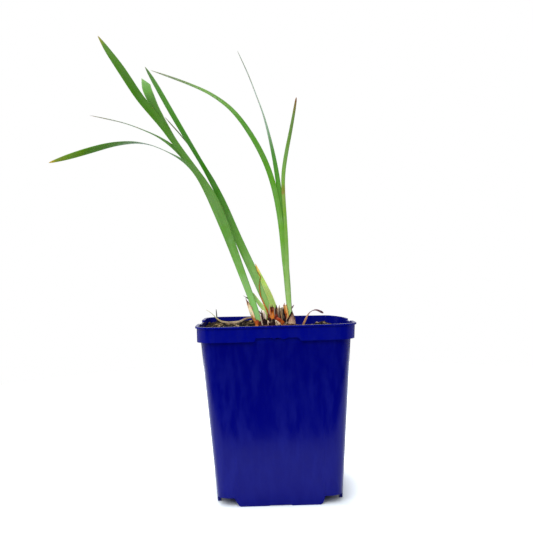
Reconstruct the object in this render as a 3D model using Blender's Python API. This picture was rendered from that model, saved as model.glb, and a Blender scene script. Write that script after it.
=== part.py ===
# Potted iris: three young iris shoots in a square nursery pot, with the soil they stand in.
# The model is in metres with +Z up; sizes below are in millimetres unless the name says degrees.
# The origin is the middle of the pot's footprint on the surface it stands on. The front faces -Y.

import math

import bmesh
import bpy
from mathutils import Vector, noise

MM = 0.001
GAP = 0.3  # clearance between pieces that rest on each other

# Pot
POT_HEIGHT = 123.0
WALL = 1.1
FOOT_HALF = 42.5
FOOT_RADIUS = 9.5
TOP_HALF = 51.0
TOP_RADIUS = 13.5
BAND_FOOT_Z = 112.0
BAND_FOOT_HALF = 53.5
BAND_TOP_HALF = 54.0
BAND_RADIUS = 14.5
LIP_HALF = 55.0
LIP_HIGH = 1.2
FLOOR_UNDER_Z = 6.5
FLOOR_TOP_Z = 7.7
CORNER_STEPS = 6
SKIRT_END = 30.5  # the skirt reaches the ground this far either side of a wall's middle
CUT_END = 32.5  # from here round the corner the skirt is cut away
CUT_HIGH = 5.8
NICK_HALF = 7.0  # the middle of each skirt edge is raised a little
NICK_END = 8.0
NICK_HIGH = 0.5
RECESS_HALF = 16.0  # the band's lower edge steps up in the middle of each wall
RECESS_END = 18.0
RECESS_HIGH = 2.5
DIP_DEEP = 1.0  # the left and right rims dip in the middle, and have no lip there
DIP_HALF = 54.2
DRAIN_RADIUS = 4.0
DRAIN_OUT = 24.0
DRAIN_SIDES = 20

# Soil
SOIL_HALF = 52.0
SOIL_RADIUS = 13.0
SOIL_LEVEL = 115.0
SOIL_RISE = 1.2  # the loose mix stands this far above that level away from the crown
HEAP_HIGH = 5.6
LUMP_HIGH = 0.8
BIG_LUMP = 6.0  # widths of the lumps
SMALL_LUMP = 2.7
SOIL_RINGS = (0.05, 0.16, 0.28, 0.41, 0.55, 0.7, 0.85, 1.0)  # shares of the way from wall to bed
EDGE_THICK = 0.7  # of the soil where it lies on the pot's inner ledge
CHIP_X = 35.5
CHIP_Y = 35.5
CHIP_HIGH = 4.2
CHIP_FLAT = 3.0  # radius of the chip lump's top, and of its foot
CHIP_FOOT = 6.5
BED_HALF_X = 19.5  # the flat bed under the crown
BED_HALF_Y = 13.5

# Crown: the rootstock at the soil line
CROWN_X = 0.5
CROWN_TOP = 119.3
CROWN_COLUMNS = 24
CROWN_KNOBS = 5
KNOB_SHARE = 0.05  # how far the knobs swell and shrink the outline

# Leaves
BLADE_THICK = 0.72
EDGE_BLADE_THICK = 0.28  # what a blade of no width would be thick, before THICK_PER_WIDTH is added
THICK_PER_WIDTH = 0.12
TIP_WIDTH = 0.45  # no blade is narrower than this
SPANS = 2  # lengths that each stretch of a blade is cut into
FOOT_Z = 120.5

# Papery skins and old leaf bases
SHEATH_WALL = 0.45
SHEATH_ROWS = 4
STUB_SIDES = 8
STUB_LEVELS = ((0.0, 0.85), (0.45, 1.0), (1.0, 0.92))  # share of the height, share of the width
STUB_HOLLOW = 0.6  # depth of the dent in a stub's top

# Places along the left shoot that all its blades share, from the foot up: x, z, width
LEFT_SHOOT = [
    (-10.5, FOOT_Z, 4.2),
    (-13.5, 128, 4.8),
    (-17, 140, 4.6),
    (-24, 160.5, 5.3),
    (-31.5, 182, 6.0),
    (-41.5, 208, 5.7),
    (-48, 222, 4.8),
    (-54.5, 233.2, 3.0),
]
MIDDLE_SHOOT = [
    (0.3, FOOT_Z, 5.0),
    (-3.5, 131, 5.8),
    (-7.3, 141, 6.5),
    (-15, 159, 6.2),
    (-25.5, 183.5, 5.8),
    (-35.5, 209, 5.1),
    (-42.3, 224, 4.2),
]
RIGHT_SHOOT = [
    (11.2, FOOT_Z, 3.4),
    (10.5, 129, 3.6),
    (10, 140.5, 3.8),
    (9.3, 153.5, 4.0),
]


def clear_scene():
    for item in list(bpy.data.objects):
        bpy.data.objects.remove(item, do_unlink=True)


def make_material(name, colour, roughness):
    material = bpy.data.materials.new(name)
    material.use_nodes = True
    shader = material.node_tree.nodes["Principled BSDF"]
    shader.inputs["Base Color"].default_value = (*colour, 1.0)
    shader.inputs["Roughness"].default_value = roughness
    material.diffuse_color = (*colour, 1.0)
    return material


def add_object(name, points, faces, material):
    mesh = bpy.data.meshes.new(name)
    mesh.from_pydata([Vector(point) * MM for point in points], [], faces)
    shape = bmesh.new()
    shape.from_mesh(mesh)
    bmesh.ops.recalc_face_normals(shape, faces=shape.faces)
    shape.to_mesh(mesh)
    shape.free()
    mesh.materials.append(material)
    item = bpy.data.objects.new(name, mesh)
    bpy.context.collection.objects.link(item)
    return item


def loft(name, rings, material):
    """Skin a row of rings with equal counts, and close both ends with one flat face."""
    count = len(rings[0])
    points = [point for ring in rings for point in ring]
    faces = []
    for low in range(len(rings) - 1):
        for column in range(count):
            after = (column + 1) % count
            faces.append(
                (
                    low * count + column,
                    low * count + after,
                    (low + 1) * count + after,
                    (low + 1) * count + column,
                )
            )
    faces.append(tuple(range(count)))
    faces.append(tuple(range(len(points) - count, len(points))))
    return add_object(name, points, faces, material)


# The pot


def side_stops():
    """Places along one wall where its edges change height."""
    right = (NICK_HALF, NICK_END, RECESS_HALF, RECESS_END, SKIRT_END, CUT_END)
    return [-stop for stop in reversed(right)] + list(right)


def column_plan():
    """For every column of a ring: its wall, and how far it is from that wall's middle."""
    plan = []
    for side in range(4):
        plan.append((side, None))
        plan += [(side, abs(stop)) for stop in side_stops()]
        plan += [(side, None)] * CORNER_STEPS
    return plan


def rounded_square(half, radius):
    points = []
    reach = half - radius
    for side in range(4):
        turn = side * math.pi / 2
        out = Vector((math.sin(turn), -math.cos(turn)))
        along = Vector((math.cos(turn), math.sin(turn)))
        for stop in [-reach, *side_stops(), reach]:
            points.append(out * half + along * stop)
        for step in range(1, CORNER_STEPS):
            angle = turn - math.pi / 2 + step / CORNER_STEPS * math.pi / 2
            arc = Vector((math.cos(angle), math.sin(angle)))
            points.append((out + along) * reach + arc * radius)
    return points


def level(height):
    return [height] * len(column_plan())


def skirt_heights():
    heights = []
    for _, off in column_plan():
        if off is None or off >= CUT_END:
            heights.append(CUT_HIGH)
        else:
            heights.append(NICK_HIGH if off <= NICK_HALF else 0.0)
    return heights


def band_heights(lift):
    heights = []
    for _, off in column_plan():
        recess = off is not None and off <= RECESS_HALF
        heights.append(BAND_FOOT_Z + lift + (RECESS_HIGH if recess else 0.0))
    return heights


def in_dip(side, off):
    return side in (1, 3) and off is not None and off <= RECESS_HALF


def rim_heights(below):
    return [
        POT_HEIGHT - below - (DIP_DEEP if in_dip(side, off) else 0.0)
        for side, off in column_plan()
    ]


def ring(half, radius, heights):
    return [(p.x, p.y, z) for p, z in zip(rounded_square(half, radius), heights)]


def lip_ring(below):
    wide = ring(LIP_HALF, BAND_RADIUS + 1.0, rim_heights(below))
    narrow = ring(DIP_HALF, BAND_RADIUS, rim_heights(below))
    plan = column_plan()
    return [n if in_dip(*c) else w for w, n, c in zip(wide, narrow, plan)]


def wall_half(z):
    return FOOT_HALF + (TOP_HALF - FOOT_HALF) * z / BAND_FOOT_Z


def wall_radius(z):
    return FOOT_RADIUS + (TOP_RADIUS - FOOT_RADIUS) * z / BAND_FOOT_Z


def pot_rings():
    floor_z = FLOOR_TOP_Z
    return [
        ring(wall_half(FLOOR_UNDER_Z) - WALL, wall_radius(FLOOR_UNDER_Z) - WALL, level(FLOOR_UNDER_Z)),
        ring(FOOT_HALF - WALL, FOOT_RADIUS - WALL, skirt_heights()),
        ring(FOOT_HALF, FOOT_RADIUS, skirt_heights()),
        ring(TOP_HALF, TOP_RADIUS, band_heights(0.0)),
        ring(BAND_FOOT_HALF, BAND_RADIUS, band_heights(0.0)),
        ring(BAND_TOP_HALF, BAND_RADIUS, rim_heights(LIP_HIGH)),
        lip_ring(LIP_HIGH),
        lip_ring(0.0),
        ring(BAND_TOP_HALF - WALL, BAND_RADIUS - WALL, rim_heights(0.0)),
        ring(BAND_FOOT_HALF - WALL, BAND_RADIUS - WALL, band_heights(WALL)),
        ring(TOP_HALF - WALL, TOP_RADIUS - WALL, band_heights(WALL)),
        ring(wall_half(floor_z) - WALL, wall_radius(floor_z) - WALL, level(floor_z)),
    ]


def drain_cutter(name, x, y):
    """A round bar through the floor. It is only a cutter, so it is hidden."""
    bpy.ops.mesh.primitive_cylinder_add(
        vertices=DRAIN_SIDES,
        radius=DRAIN_RADIUS * MM,
        depth=3 * FLOOR_UNDER_Z * MM,
        location=(x * MM, y * MM, FLOOR_UNDER_Z * MM),
    )
    cutter = bpy.context.object
    cutter.name = name
    cutter.hide_render = True
    cutter.display_type = "WIRE"
    return cutter


def make_pot():
    plastic = make_material("pot_plastic", (0.004, 0.005, 0.16), 0.32)
    pot = loft("pot", pot_rings(), plastic)
    spots = [(0.0, 0.0)]
    spots += [(x, y) for x in (-DRAIN_OUT, DRAIN_OUT) for y in (-DRAIN_OUT, DRAIN_OUT)]
    for index, (x, y) in enumerate(spots):
        cut = pot.modifiers.new(f"drain_{index}", "BOOLEAN")
        cut.operation = "DIFFERENCE"
        cut.solver = "EXACT"
        cut.object = drain_cutter(f"drain_cutter_{index}", x, y)


# The soil


def smooth(low, high, value):
    """A soft step from 0 at low to 1 at high; it also runs downwards if high is the smaller."""
    share = min(1.0, max(0.0, (value - low) / (high - low)))
    return share * share * (3 - 2 * share)


def soil_top(x, y):
    """Height of the soil: a heap at the back left, small lumps, and a flat bed for the crown."""
    heap = smooth(-6, 16, y) * smooth(2, -16, x) * HEAP_HIGH
    lumps = LUMP_HIGH * noise.noise(Vector((x, y, 3.0)) / BIG_LUMP)
    lumps += 0.6 * LUMP_HIGH * noise.noise(Vector((x, y, 9.0)) / SMALL_LUMP)
    from_chip = math.hypot((x - CHIP_X) / 1.2, y - CHIP_Y)
    chip = CHIP_HIGH * smooth(CHIP_FOOT, CHIP_FLAT, from_chip)
    bed = math.hypot((x - CROWN_X) / BED_HALF_X, y / BED_HALF_Y)
    rise = (SOIL_RISE + heap + chip + lumps) * smooth(1.0, 1.5, bed)
    return SOIL_LEVEL + rise


def soil_side_rings():
    foot_z = FLOOR_TOP_Z + GAP
    inset = WALL + GAP
    return [
        ring(wall_half(foot_z) - inset, wall_radius(foot_z) - inset, level(foot_z)),
        ring(TOP_HALF - inset, TOP_RADIUS - inset, band_heights(WALL + GAP)),
        ring(SOIL_HALF, SOIL_RADIUS, band_heights(WALL + GAP)),
    ]


def soil_top_rings():
    outline = rounded_square(SOIL_HALF, SOIL_RADIUS)
    edge = band_heights(WALL + GAP + EDGE_THICK)
    rings = [[(p.x, p.y, max(z, soil_top(p.x, p.y))) for p, z in zip(outline, edge)]]
    for share in SOIL_RINGS:
        row = []
        for p, z in zip(outline, edge):
            angle = math.atan2(p.y, p.x)
            bed = Vector((BED_HALF_X * math.cos(angle) + CROWN_X, BED_HALF_Y * math.sin(angle)))
            spot = p.lerp(bed, share)
            ledge = z + 0.4 if share < 0.1 else SOIL_LEVEL
            row.append((spot.x, spot.y, max(ledge, soil_top(spot.x, spot.y))))
        rings.append(row)
    return rings


def make_soil():
    earth = make_material("soil", (0.045, 0.033, 0.024), 0.95)
    loft("soil", soil_side_rings() + soil_top_rings(), earth)


# The rootstock


def make_crown():
    """A low knobbly body with a nearly flat top that the shoots stand on."""
    root = make_material("rootstock", (0.28, 0.13, 0.05), 0.8)
    levels = [
        (SOIL_LEVEL + GAP, 14.5, 9.5),
        (SOIL_LEVEL + 1.3, 17.0, 11.8),
        (CROWN_TOP - 1.1, 17.0, 11.6),
        (CROWN_TOP, 15.0, 10.2),
    ]
    rings = []
    for z, half_x, half_y in levels:
        row = []
        for column in range(CROWN_COLUMNS):
            angle = 2 * math.pi * column / CROWN_COLUMNS
            knob = 1 + KNOB_SHARE * math.sin(CROWN_KNOBS * angle + 0.7)
            x = CROWN_X + half_x * knob * math.cos(angle)
            row.append((x, half_y * knob * math.sin(angle), z))
        rings.append(row)
    loft("crown", rings, root)


# The leaves


def sample(rows, spans):
    """Pass a smooth curve through the rows, whatever the rows hold, with even pace along it."""
    ends = [0.0]
    for here, after in zip(rows, rows[1:]):
        ends.append(ends[-1] + math.dist(here[:3], after[:3]))
    last = len(rows) - 1
    slopes = []
    for index in range(len(rows)):
        low, high = max(0, index - 1), min(last, index + 1)
        span = ends[high] - ends[low]
        slopes.append([(b - a) / span for a, b in zip(rows[low], rows[high])])
    out = []
    for index in range(last):
        length = ends[index + 1] - ends[index]
        for step in range(spans):
            t = step / spans
            k0 = 2 * t**3 - 3 * t**2 + 1
            k1 = (t**3 - 2 * t**2 + t) * length
            k2 = 3 * t**2 - 2 * t**3
            k3 = (t**3 - t**2) * length
            parts = zip(rows[index], slopes[index], rows[index + 1], slopes[index + 1])
            out.append([a * k0 + m * k1 + b * k2 + n * k3 for a, m, b, n in parts])
    out.append(list(rows[-1]))
    return out


def lens(width, thick):
    """Eight points of a flat leaf section, thickest in the middle, sharp at both edges."""
    half, deep = width / 2, thick / 2
    front = [(-half, 0.0), (-0.55 * half, -0.8 * deep), (0.0, -deep), (0.55 * half, -0.8 * deep)]
    return front + [(-u, -v) for u, v in front]


def blade(name, rows, material):
    """A leaf through rows of x, y, z, width and turn in degrees, from the foot to the tip."""
    curve = sample(rows, SPANS)
    rings = []
    for index, row in enumerate(curve):
        x, y, z, width, turn = row
        before = Vector(curve[max(0, index - 1)][:3])
        after = Vector(curve[min(len(curve) - 1, index + 1)][:3])
        along = (after - before).normalized()
        face = Vector((0, 1, 0))
        face = (face - along * face.dot(along)).normalized()
        side = along.cross(face)
        angle = math.radians(turn)
        across = side * math.cos(angle) + face * math.sin(angle)
        depth = face * math.cos(angle) - side * math.sin(angle)
        width = max(TIP_WIDTH, width)
        thick = min(BLADE_THICK, EDGE_BLADE_THICK + THICK_PER_WIDTH * width)
        place = Vector((x, y, z))
        rings.append([place + across * u + depth * v for u, v in lens(width, thick)])
    return loft(name, rings, material)


def on_shoot(shoot, depth, upper, narrow=1.0):
    """Rows of one blade: the shared part of its shoot at its own depth, then its own part."""
    shared = [(x, depth, z, width * narrow, 0.0) for x, z, width in shoot]
    return shared + upper


def make_left_shoot(green):
    tall = [
        (-63.8, -5.6, 246.5, 4.2, 0),
        (-78.5, -6.3, 266.5, 5.5, 0),
        (-94.5, -7.8, 289, 5.9, 0),
        (-108.5, -9.5, 310.5, 5.2, 0),
        (-116.2, -10.8, 323.8, 3.6, 0),
        (-121, -12, 331, 0.5, 0),
    ]
    cut = [
        (-63.5, -3.9, 248.5, 3.6, 0),
        (-75, -1.8, 266.5, 5.2, 0),
        (-84, 0.2, 282.5, 6.3, 0),
        (-89, 1.6, 295.5, 6.5, 0),
        (-90.8, 2.0, 300.5, 4.6, 0),
        (-91.6, 2.1, 302, 2.4, 0),
    ]
    side = [
        (-60.5, -2.2, 240.5, 3.2, 0),
        (-72, 1.6, 252.5, 3.1, 15),
        (-89.5, 7.5, 264.5, 2.7, 62),
        (-107.5, 13.5, 272.7, 2.4, 68),
        (-124, 19, 278, 2.2, 60),
        (-137.7, 24, 282, 0.5, 60),
    ]
    arch = [
        (-58.5, -8.4, 235.5, 2.8, 12),
        (-69, -11, 243.2, 3.0, 42),
        (-83.5, -14.5, 250.2, 3.6, 70),
        (-98.5, -18, 253, 4.0, 68),
        (-112, -21.5, 251.5, 4.2, 50),
        (-126, -25.5, 247.7, 4.3, 30),
        (-139.5, -29.5, 243.2, 3.8, 22),
        (-149.5, -32.5, 239.5, 2.0, 20),
        (-153.5, -34, 238, 0.5, 20),
    ]
    blade("leaf_left_tall", on_shoot(LEFT_SHOOT, -5.5, tall), green)
    blade("leaf_left_cut", on_shoot(LEFT_SHOOT, -4.4, cut), green)
    blade("leaf_left_side", on_shoot(LEFT_SHOOT, -3.3, side), green)
    blade("leaf_left_arch", on_shoot(LEFT_SHOOT, -6.75, arch), green)


def make_middle_shoot(green, pale):
    broad = [
        (-49.3, 3.2, 237, 3.8, 40),
        (-58.8, 5.0, 254, 4.2, 45),
        (-71.8, 8.2, 277.5, 4.4, 45),
        (-83.2, 11.3, 299, 3.6, 42),
        (-89.3, 13, 310, 2.1, 40),
        (-92, 14, 314.3, 0.5, 40),
    ]
    inner = [
        (-49.5, 8.6, 236.5, 2.8, 60),
        (-58, 11.8, 251.3, 2.6, 70),
        (-67, 15.2, 263.3, 2.4, 72),
        (-75.8, 18.7, 274, 1.8, 70),
        (-79.3, 20, 278.4, 0.5, 70),
    ]
    spear = [
        (3.4, 0.1, FOOT_Z, 4.0, 0),
        (0.4, 0.1, 129.8, 4.1, 0),
        (-3.1, 0.1, 139.8, 4.2, 0),
        (-6.7, -0.1, 148.4, 3.7, 0),
        (-10, -0.4, 156.4, 2.3, 0),
        (-13.5, -0.9, 165.3, 0.5, 0),
    ]
    blade("leaf_middle_broad", on_shoot(MIDDLE_SHOOT, 1.4, broad), green)
    blade("leaf_middle_inner", on_shoot(MIDDLE_SHOOT[:6], 2.85, inner, 0.75), green)
    blade("leaf_middle_spear", spear, pale)


def make_right_shoot(green):
    arch = [
        (8.3, 3.0, 167, 4.1, 0),
        (6.2, 3.0, 194, 4.0, 0),
        (2.6, 3.0, 218, 4.0, 0),
        (-3.7, 1.8, 239.3, 4.0, 0),
        (-14.3, -1.4, 260, 3.7, 15),
        (-27, -5.2, 277, 3.3, 32),
        (-41.5, -9.2, 287.8, 2.8, 45),
        (-55.6, -12.8, 294.2, 2.3, 50),
        (-69.7, -16.6, 299.2, 1.8, 50),
        (-83.3, -20, 303.6, 0.5, 50),
    ]
    upright = [
        (8.8, 4.1, 167.7, 4.0, 0),
        (7.6, 4.1, 191.5, 3.7, 0),
        (5.6, 4.2, 220, 3.6, 8),
        (2.2, 5.0, 245, 3.5, 40),
        (-3.6, 7.4, 272.5, 3.2, 72),
        (-9.7, 9.6, 291.5, 2.8, 80),
        (-14.7, 11.3, 306, 2.2, 76),
        (-20.2, 13.1, 319.6, 1.3, 70),
        (-22.8, 14, 325.8, 0.5, 70),
    ]
    short = [
        (9.9, 1.9, 172, 3.0, 0),
        (9.7, 1.9, 194, 2.5, 0),
        (9.2, 1.8, 219, 1.8, 0),
        (9.9, 0.9, 231, 2.0, 0),
        (12.2, -0.9, 244.5, 2.7, 0),
        (14.8, -3.0, 258.2, 2.5, 0),
        (17.6, -5.4, 272, 2.0, 0),
        (19.4, -7.3, 281.5, 1.4, 0),
        (19.9, -7.9, 284.4, 0.5, 0),
    ]
    blade("leaf_right_arch", on_shoot(RIGHT_SHOOT, 3.0, arch), green)
    blade("leaf_right_upright", on_shoot(RIGHT_SHOOT, 4.1, upright), green)
    blade("leaf_right_short", on_shoot(RIGHT_SHOOT, 1.9, short, 0.85), green)


def make_thin_leaf(pale):
    rows = [
        (-4.6, -2.0, FOOT_Z, 2.2, 0),
        (-7.2, -2.0, 130, 2.3, 0),
        (-11, -2.0, 137.5, 1.7, 0),
        (-16, -1.8, 144.6, 0.6, 0),
    ]
    blade("leaf_thin_pale", rows, pale)


# The dead leaves


def make_dead_leaves(straw):
    trailing = [
        (-8.0, 6.5, FOOT_Z, 1.6, 0),
        (-11.5, 5.8, 124.2, 1.8, 0),
        (-18, 5.0, 125.5, 1.8, 0),
        (-25.6, 8, 123.8, 2.2, 20),
        (-33, 11, 122.8, 2.4, 30),
        (-39.4, 13, 123.0, 1.8, 30),
        (-43, 14.2, 124.6, 1.2, 20),
        (-47.9, 16, 129, 0.7, 0),
        (-52.4, 17, 131.8, 0.45, 0),
    ]
    curl = [
        (19.6, 3.0, 117.0, 1.6, 0),
        (22.2, 3.0, 122.5, 1.9, 0),
        (26.1, 5.0, 128.4, 1.4, 30),
        (30.5, 7.0, 129.8, 1.3, 60),
        (34.6, 9.0, 127.7, 1.5, 40),
        (36.3, 10.0, 126.4, 0.6, 40),
    ]
    twig = [
        (-43.6, 20.0, 122.2, 0.9, 0),
        (-43.9, 19.2, 126.6, 1.0, 0),
        (-44.2, 18.6, 132.3, 0.45, 0),
    ]
    blade("dead_leaf_left", trailing, straw)
    blade("dead_curl_right", curl, straw)
    blade("dry_twig_left", twig, straw)


# The papery sheaths and the old leaf bases


def along_path(path, share):
    """A point and radius part of the way up a path of x, y, z and radius rows."""
    place = min(share, 0.9999) * (len(path) - 1)
    index = int(place)
    t = place - index
    return [a + (b - a) * t for a, b in zip(path[index], path[index + 1])]


def sheath(name, path, start_degrees, stop_degrees, tops, material):
    """A papery skin bent part of the way round a shoot. tops gives each column's share of the height."""
    outer, inner = [], []
    for column, top in enumerate(tops):
        share = column / (len(tops) - 1)
        angle = math.radians(start_degrees + (stop_degrees - start_degrees) * share)
        for row in range(SHEATH_ROWS + 1):
            x, y, z, radius = along_path(path, top * row / SHEATH_ROWS)
            for side, reach in ((outer, radius), (inner, radius - SHEATH_WALL)):
                side.append((x + reach * math.cos(angle), y + reach * math.sin(angle), z))
    step = SHEATH_ROWS + 1
    count = len(outer)
    faces = []
    for column in range(len(tops) - 1):
        for row in range(SHEATH_ROWS):
            a = column * step + row
            b = a + step
            faces.append((a, b, b + 1, a + 1))
            faces.append((count + a, count + a + 1, count + b + 1, count + b))
        foot, head = column * step, column * step + SHEATH_ROWS
        faces.append((foot, count + foot, count + foot + step, foot + step))
        faces.append((head, head + step, count + head + step, count + head))
    for edge in (0, (len(tops) - 1) * step):
        for row in range(SHEATH_ROWS):
            a = edge + row
            faces.append((a, a + 1, count + a + 1, count + a))
    return add_object(name, outer + inner, faces, material)


def stub(name, foot, top, width, thick, turn_degrees, teeth, material):
    """An old cut leaf base: a flat stalk with a torn top. teeth lifts or lowers each top point."""
    rings = []
    turn = math.radians(turn_degrees)
    across = Vector((math.cos(turn), math.sin(turn), 0))
    depth = Vector((-math.sin(turn), math.cos(turn), 0))
    for share, swell in STUB_LEVELS:
        place = Vector(foot).lerp(Vector(top), share)
        row = []
        for index in range(STUB_SIDES):
            angle = 2 * math.pi * index / STUB_SIDES
            u = width / 2 * swell * math.cos(angle)
            v = thick / 2 * swell * math.sin(angle)
            lift = Vector((0, 0, teeth[index] if share == 1.0 else 0.0))
            row.append(place + across * u + depth * v + lift)
        rings.append(row)
    points = [point for row in rings for point in row]
    dent = len(points)
    points.append(Vector(top) - Vector((0, 0, STUB_HOLLOW)))
    faces = [tuple(range(STUB_SIDES))]
    for low in range(len(rings) - 1):
        for index in range(STUB_SIDES):
            after = (index + 1) % STUB_SIDES
            a = low * STUB_SIDES
            b = a + STUB_SIDES
            faces.append((a + index, a + after, b + after, b + index))
    last = dent - STUB_SIDES
    faces += [(last + index, last + (index + 1) % STUB_SIDES, dent) for index in range(STUB_SIDES)]
    return add_object(name, points, faces, material)


def make_sheaths(straw, tan):
    left_path = [
        (-10.6, -4.9, FOOT_Z, 3.7),
        (-13.6, -4.9, 128, 4.3),
        (-15.6, -4.9, 134, 4.0),
        (-17.7, -4.9, 141.5, 3.4),
    ]
    sheath("sheath_left", left_path, 120, 240, (0.45, 0.8, 1.0, 0.93, 0.62), straw)
    mid_path = [
        (-10.2, -4.9, FOOT_Z, 3.5),
        (-12.2, -4.9, 125.5, 3.7),
        (-13.9, -4.9, 131.3, 3.5),
    ]
    sheath("sheath_mid", mid_path, -58, 52, (0.5, 0.85, 1.0, 0.8, 0.55), tan)
    right_path = [
        (11.4, 2.8, FOOT_Z, 4.4),
        (11.4, 2.8, 124.5, 4.1),
        (11.2, 2.8, 130.5, 3.3),
    ]
    sheath("sheath_right", right_path, -112, 70, (0.42, 0.8, 1.0, 0.72, 0.55, 0.4), tan)


def make_stubs(orange, tan):
    stub("stub_orange", (-1.6, -5.0, FOOT_Z), (-2.2, -5.0, 133), 4.6, 2.2, 4,
         (0.4, -0.9, 0.2, 1.6, -0.4, 0.8, -0.6, 0.1), orange)
    stub("stub_tan", (4.6, -2.1, FOOT_Z), (3.4, -2.1, 132.4), 4.4, 1.9, -6,
         (1.2, -0.3, 0.7, -0.8, 0.2, 1.0, -0.7, 0.3), tan)
    stub("stub_strip", (9.3, 0.2, FOOT_Z), (6.9, 0.0, 133.6), 2.0, 0.8, 0,
         (0.2, 0.1, -0.3, 0.4, 0.9, 0.6, 0.1, -0.2), orange)
    stub("stub_slant", (6.8, -6.6, FOOT_Z), (0.9, -7.2, 126.2), 3.4, 1.6, 0,
         (0.2, -0.2, 0.3, 0.5, 0.1, -0.3, 0.2, 0.4), orange)
    stub("stub_wedge", (3.6, -9.0, FOOT_Z), (0.6, -9.4, 123.4), 3.4, 1.1, 0,
         (-0.6, -0.2, 0.1, 0.3, 0.6, 0.2, 0.0, -0.3), tan)


def main():
    clear_scene()
    green = make_material("leaf_green", (0.12, 0.32, 0.06), 0.45)
    pale = make_material("leaf_pale", (0.5, 0.62, 0.18), 0.5)
    straw = make_material("dead_straw", (0.42, 0.27, 0.14), 0.8)
    tan = make_material("sheath_tan", (0.36, 0.27, 0.19), 0.85)
    orange = make_material("stub_rust", (0.45, 0.16, 0.04), 0.75)
    make_pot()
    make_soil()
    make_crown()
    make_left_shoot(green)
    make_middle_shoot(green, pale)
    make_right_shoot(green)
    make_thin_leaf(pale)
    make_dead_leaves(straw)
    make_sheaths(straw, tan)
    make_stubs(orange, tan)


main()
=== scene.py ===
import math
import random
from contextlib import contextmanager
from functools import partial

import bpy
from mathutils import Matrix, Vector, noise
from mathutils.bvhtree import BVHTree


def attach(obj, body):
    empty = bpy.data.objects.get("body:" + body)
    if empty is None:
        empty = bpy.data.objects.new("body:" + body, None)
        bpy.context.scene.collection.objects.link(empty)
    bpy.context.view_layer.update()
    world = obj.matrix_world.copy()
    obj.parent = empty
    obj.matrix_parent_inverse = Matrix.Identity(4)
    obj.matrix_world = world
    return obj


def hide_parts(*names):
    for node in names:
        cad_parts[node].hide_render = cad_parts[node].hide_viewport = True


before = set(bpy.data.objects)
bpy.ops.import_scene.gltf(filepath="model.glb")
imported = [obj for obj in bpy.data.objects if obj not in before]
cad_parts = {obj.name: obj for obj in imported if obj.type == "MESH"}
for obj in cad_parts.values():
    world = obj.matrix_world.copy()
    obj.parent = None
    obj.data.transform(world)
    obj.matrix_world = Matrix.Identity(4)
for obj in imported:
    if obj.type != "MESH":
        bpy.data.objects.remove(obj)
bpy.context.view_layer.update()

mm = 0.001
dice = random.Random(11)
noise.seed_set(11)  # unseeded, the crumpling of dry tissue would differ from run to run


# Small helpers

def colour(hexText):  # sRGB hex to the linear values that shaders take
    channels = [int(hexText[i:i + 2], 16) / 255 for i in (1, 3, 5)]
    return [c / 12.92 if c <= 0.04045 else ((c + 0.055) / 1.055) ** 2.4 for c in channels] + [1.0]


# An input takes a value, a hex colour, a socket, or a node's first output. A number picks one of two inputs
# that share a name.
def setInputs(node, inputs):
    for name, value in inputs.items():
        if isinstance(name, int):
            socket = node.inputs[name]
        else:
            socket = next(s for s in node.inputs if s.name == name and s.enabled)
        if isinstance(value, bpy.types.Node):
            value = next(s for s in value.outputs if s.enabled)
        if isinstance(value, bpy.types.NodeSocket):
            node.id_data.links.new(value, socket)
        else:
            socket.default_value = colour(value) if isinstance(value, str) else value


def addNode(tree, kind, inputs=None, stops=None, **settings):
    node = tree.nodes.new("ShaderNode" + kind)
    for name, value in settings.items():
        setattr(node, name, value)
    if stops:
        places, ramp = list(stops), node.color_ramp.elements
        ramp[0].position, ramp[1].position = places[0], places[-1]
        for place in places[1:-1]:
            ramp.new(place)
        for element, hexText in zip(ramp, stops.values()):
            element.color = colour(hexText)
    setInputs(node, inputs or {})
    return node


def spread(value, toLow, toHigh, fromLow=0.3, fromHigh=0.7):  # noise mostly lies between 0.3 and 0.7
    return {"Value": value, "From Min": fromLow, "From Max": fromHigh, "To Min": toLow, "To Max": toHigh}


def startMaterial(name, inputs):  # also gives addNode for this material's nodes, and the shader
    material = bpy.data.materials.new(name)
    material.use_nodes = True
    shader = material.node_tree.nodes["Principled BSDF"]
    setInputs(shader, inputs)
    return material, partial(addNode, material.node_tree), shader


def selectOnly(*pieces):  # the first one becomes the active one
    bpy.ops.object.select_all(action="DESELECT")
    for piece in reversed(pieces):
        piece.select_set(True)
        bpy.context.view_layer.objects.active = piece


def startPiece(addPrimitive, **settings):
    selectOnly()
    addPrimitive(**settings)
    return bpy.context.object


@contextmanager
def editing(select=None):  # in edit mode for as long as the block lasts
    bpy.ops.object.mode_set(mode="EDIT")
    if select:
        bpy.ops.mesh.select_all(action=select)
    yield
    bpy.ops.object.mode_set(mode="OBJECT")


@contextmanager
def picked(piece, kind, test):  # the same, with just the edges or faces selected that pass a test
    with editing("DESELECT"):
        bpy.ops.mesh.select_mode(type=kind)
    for element in {"EDGE": piece.data.edges, "FACE": piece.data.polygons}[kind]:
        element.select = test(element)
    with editing():
        yield


def addCopy(name, mesh):  # each copy has its own mesh
    piece = bpy.data.objects.new(name, mesh.copy())
    bpy.context.scene.collection.objects.link(piece)
    return piece


def copyNode(nodeName):  # a copy of a CAD solid, its loose triangles merged
    piece = addCopy(nodeName + "_copy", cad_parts[nodeName].data)
    selectOnly(piece)
    with editing("SELECT"):
        bpy.ops.mesh.remove_doubles(threshold=0.01 * mm)
    return piece


def applyModifier(piece, kind, **settings):
    modifier = piece.modifiers.new(kind.title(), kind)
    for name, value in settings.items():
        setattr(modifier, name, value)
    bpy.context.view_layer.objects.active = piece
    bpy.ops.object.modifier_apply(modifier=modifier.name)


def soften(piece):
    applyModifier(piece, "SUBSURF", levels=1, render_levels=1)


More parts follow.
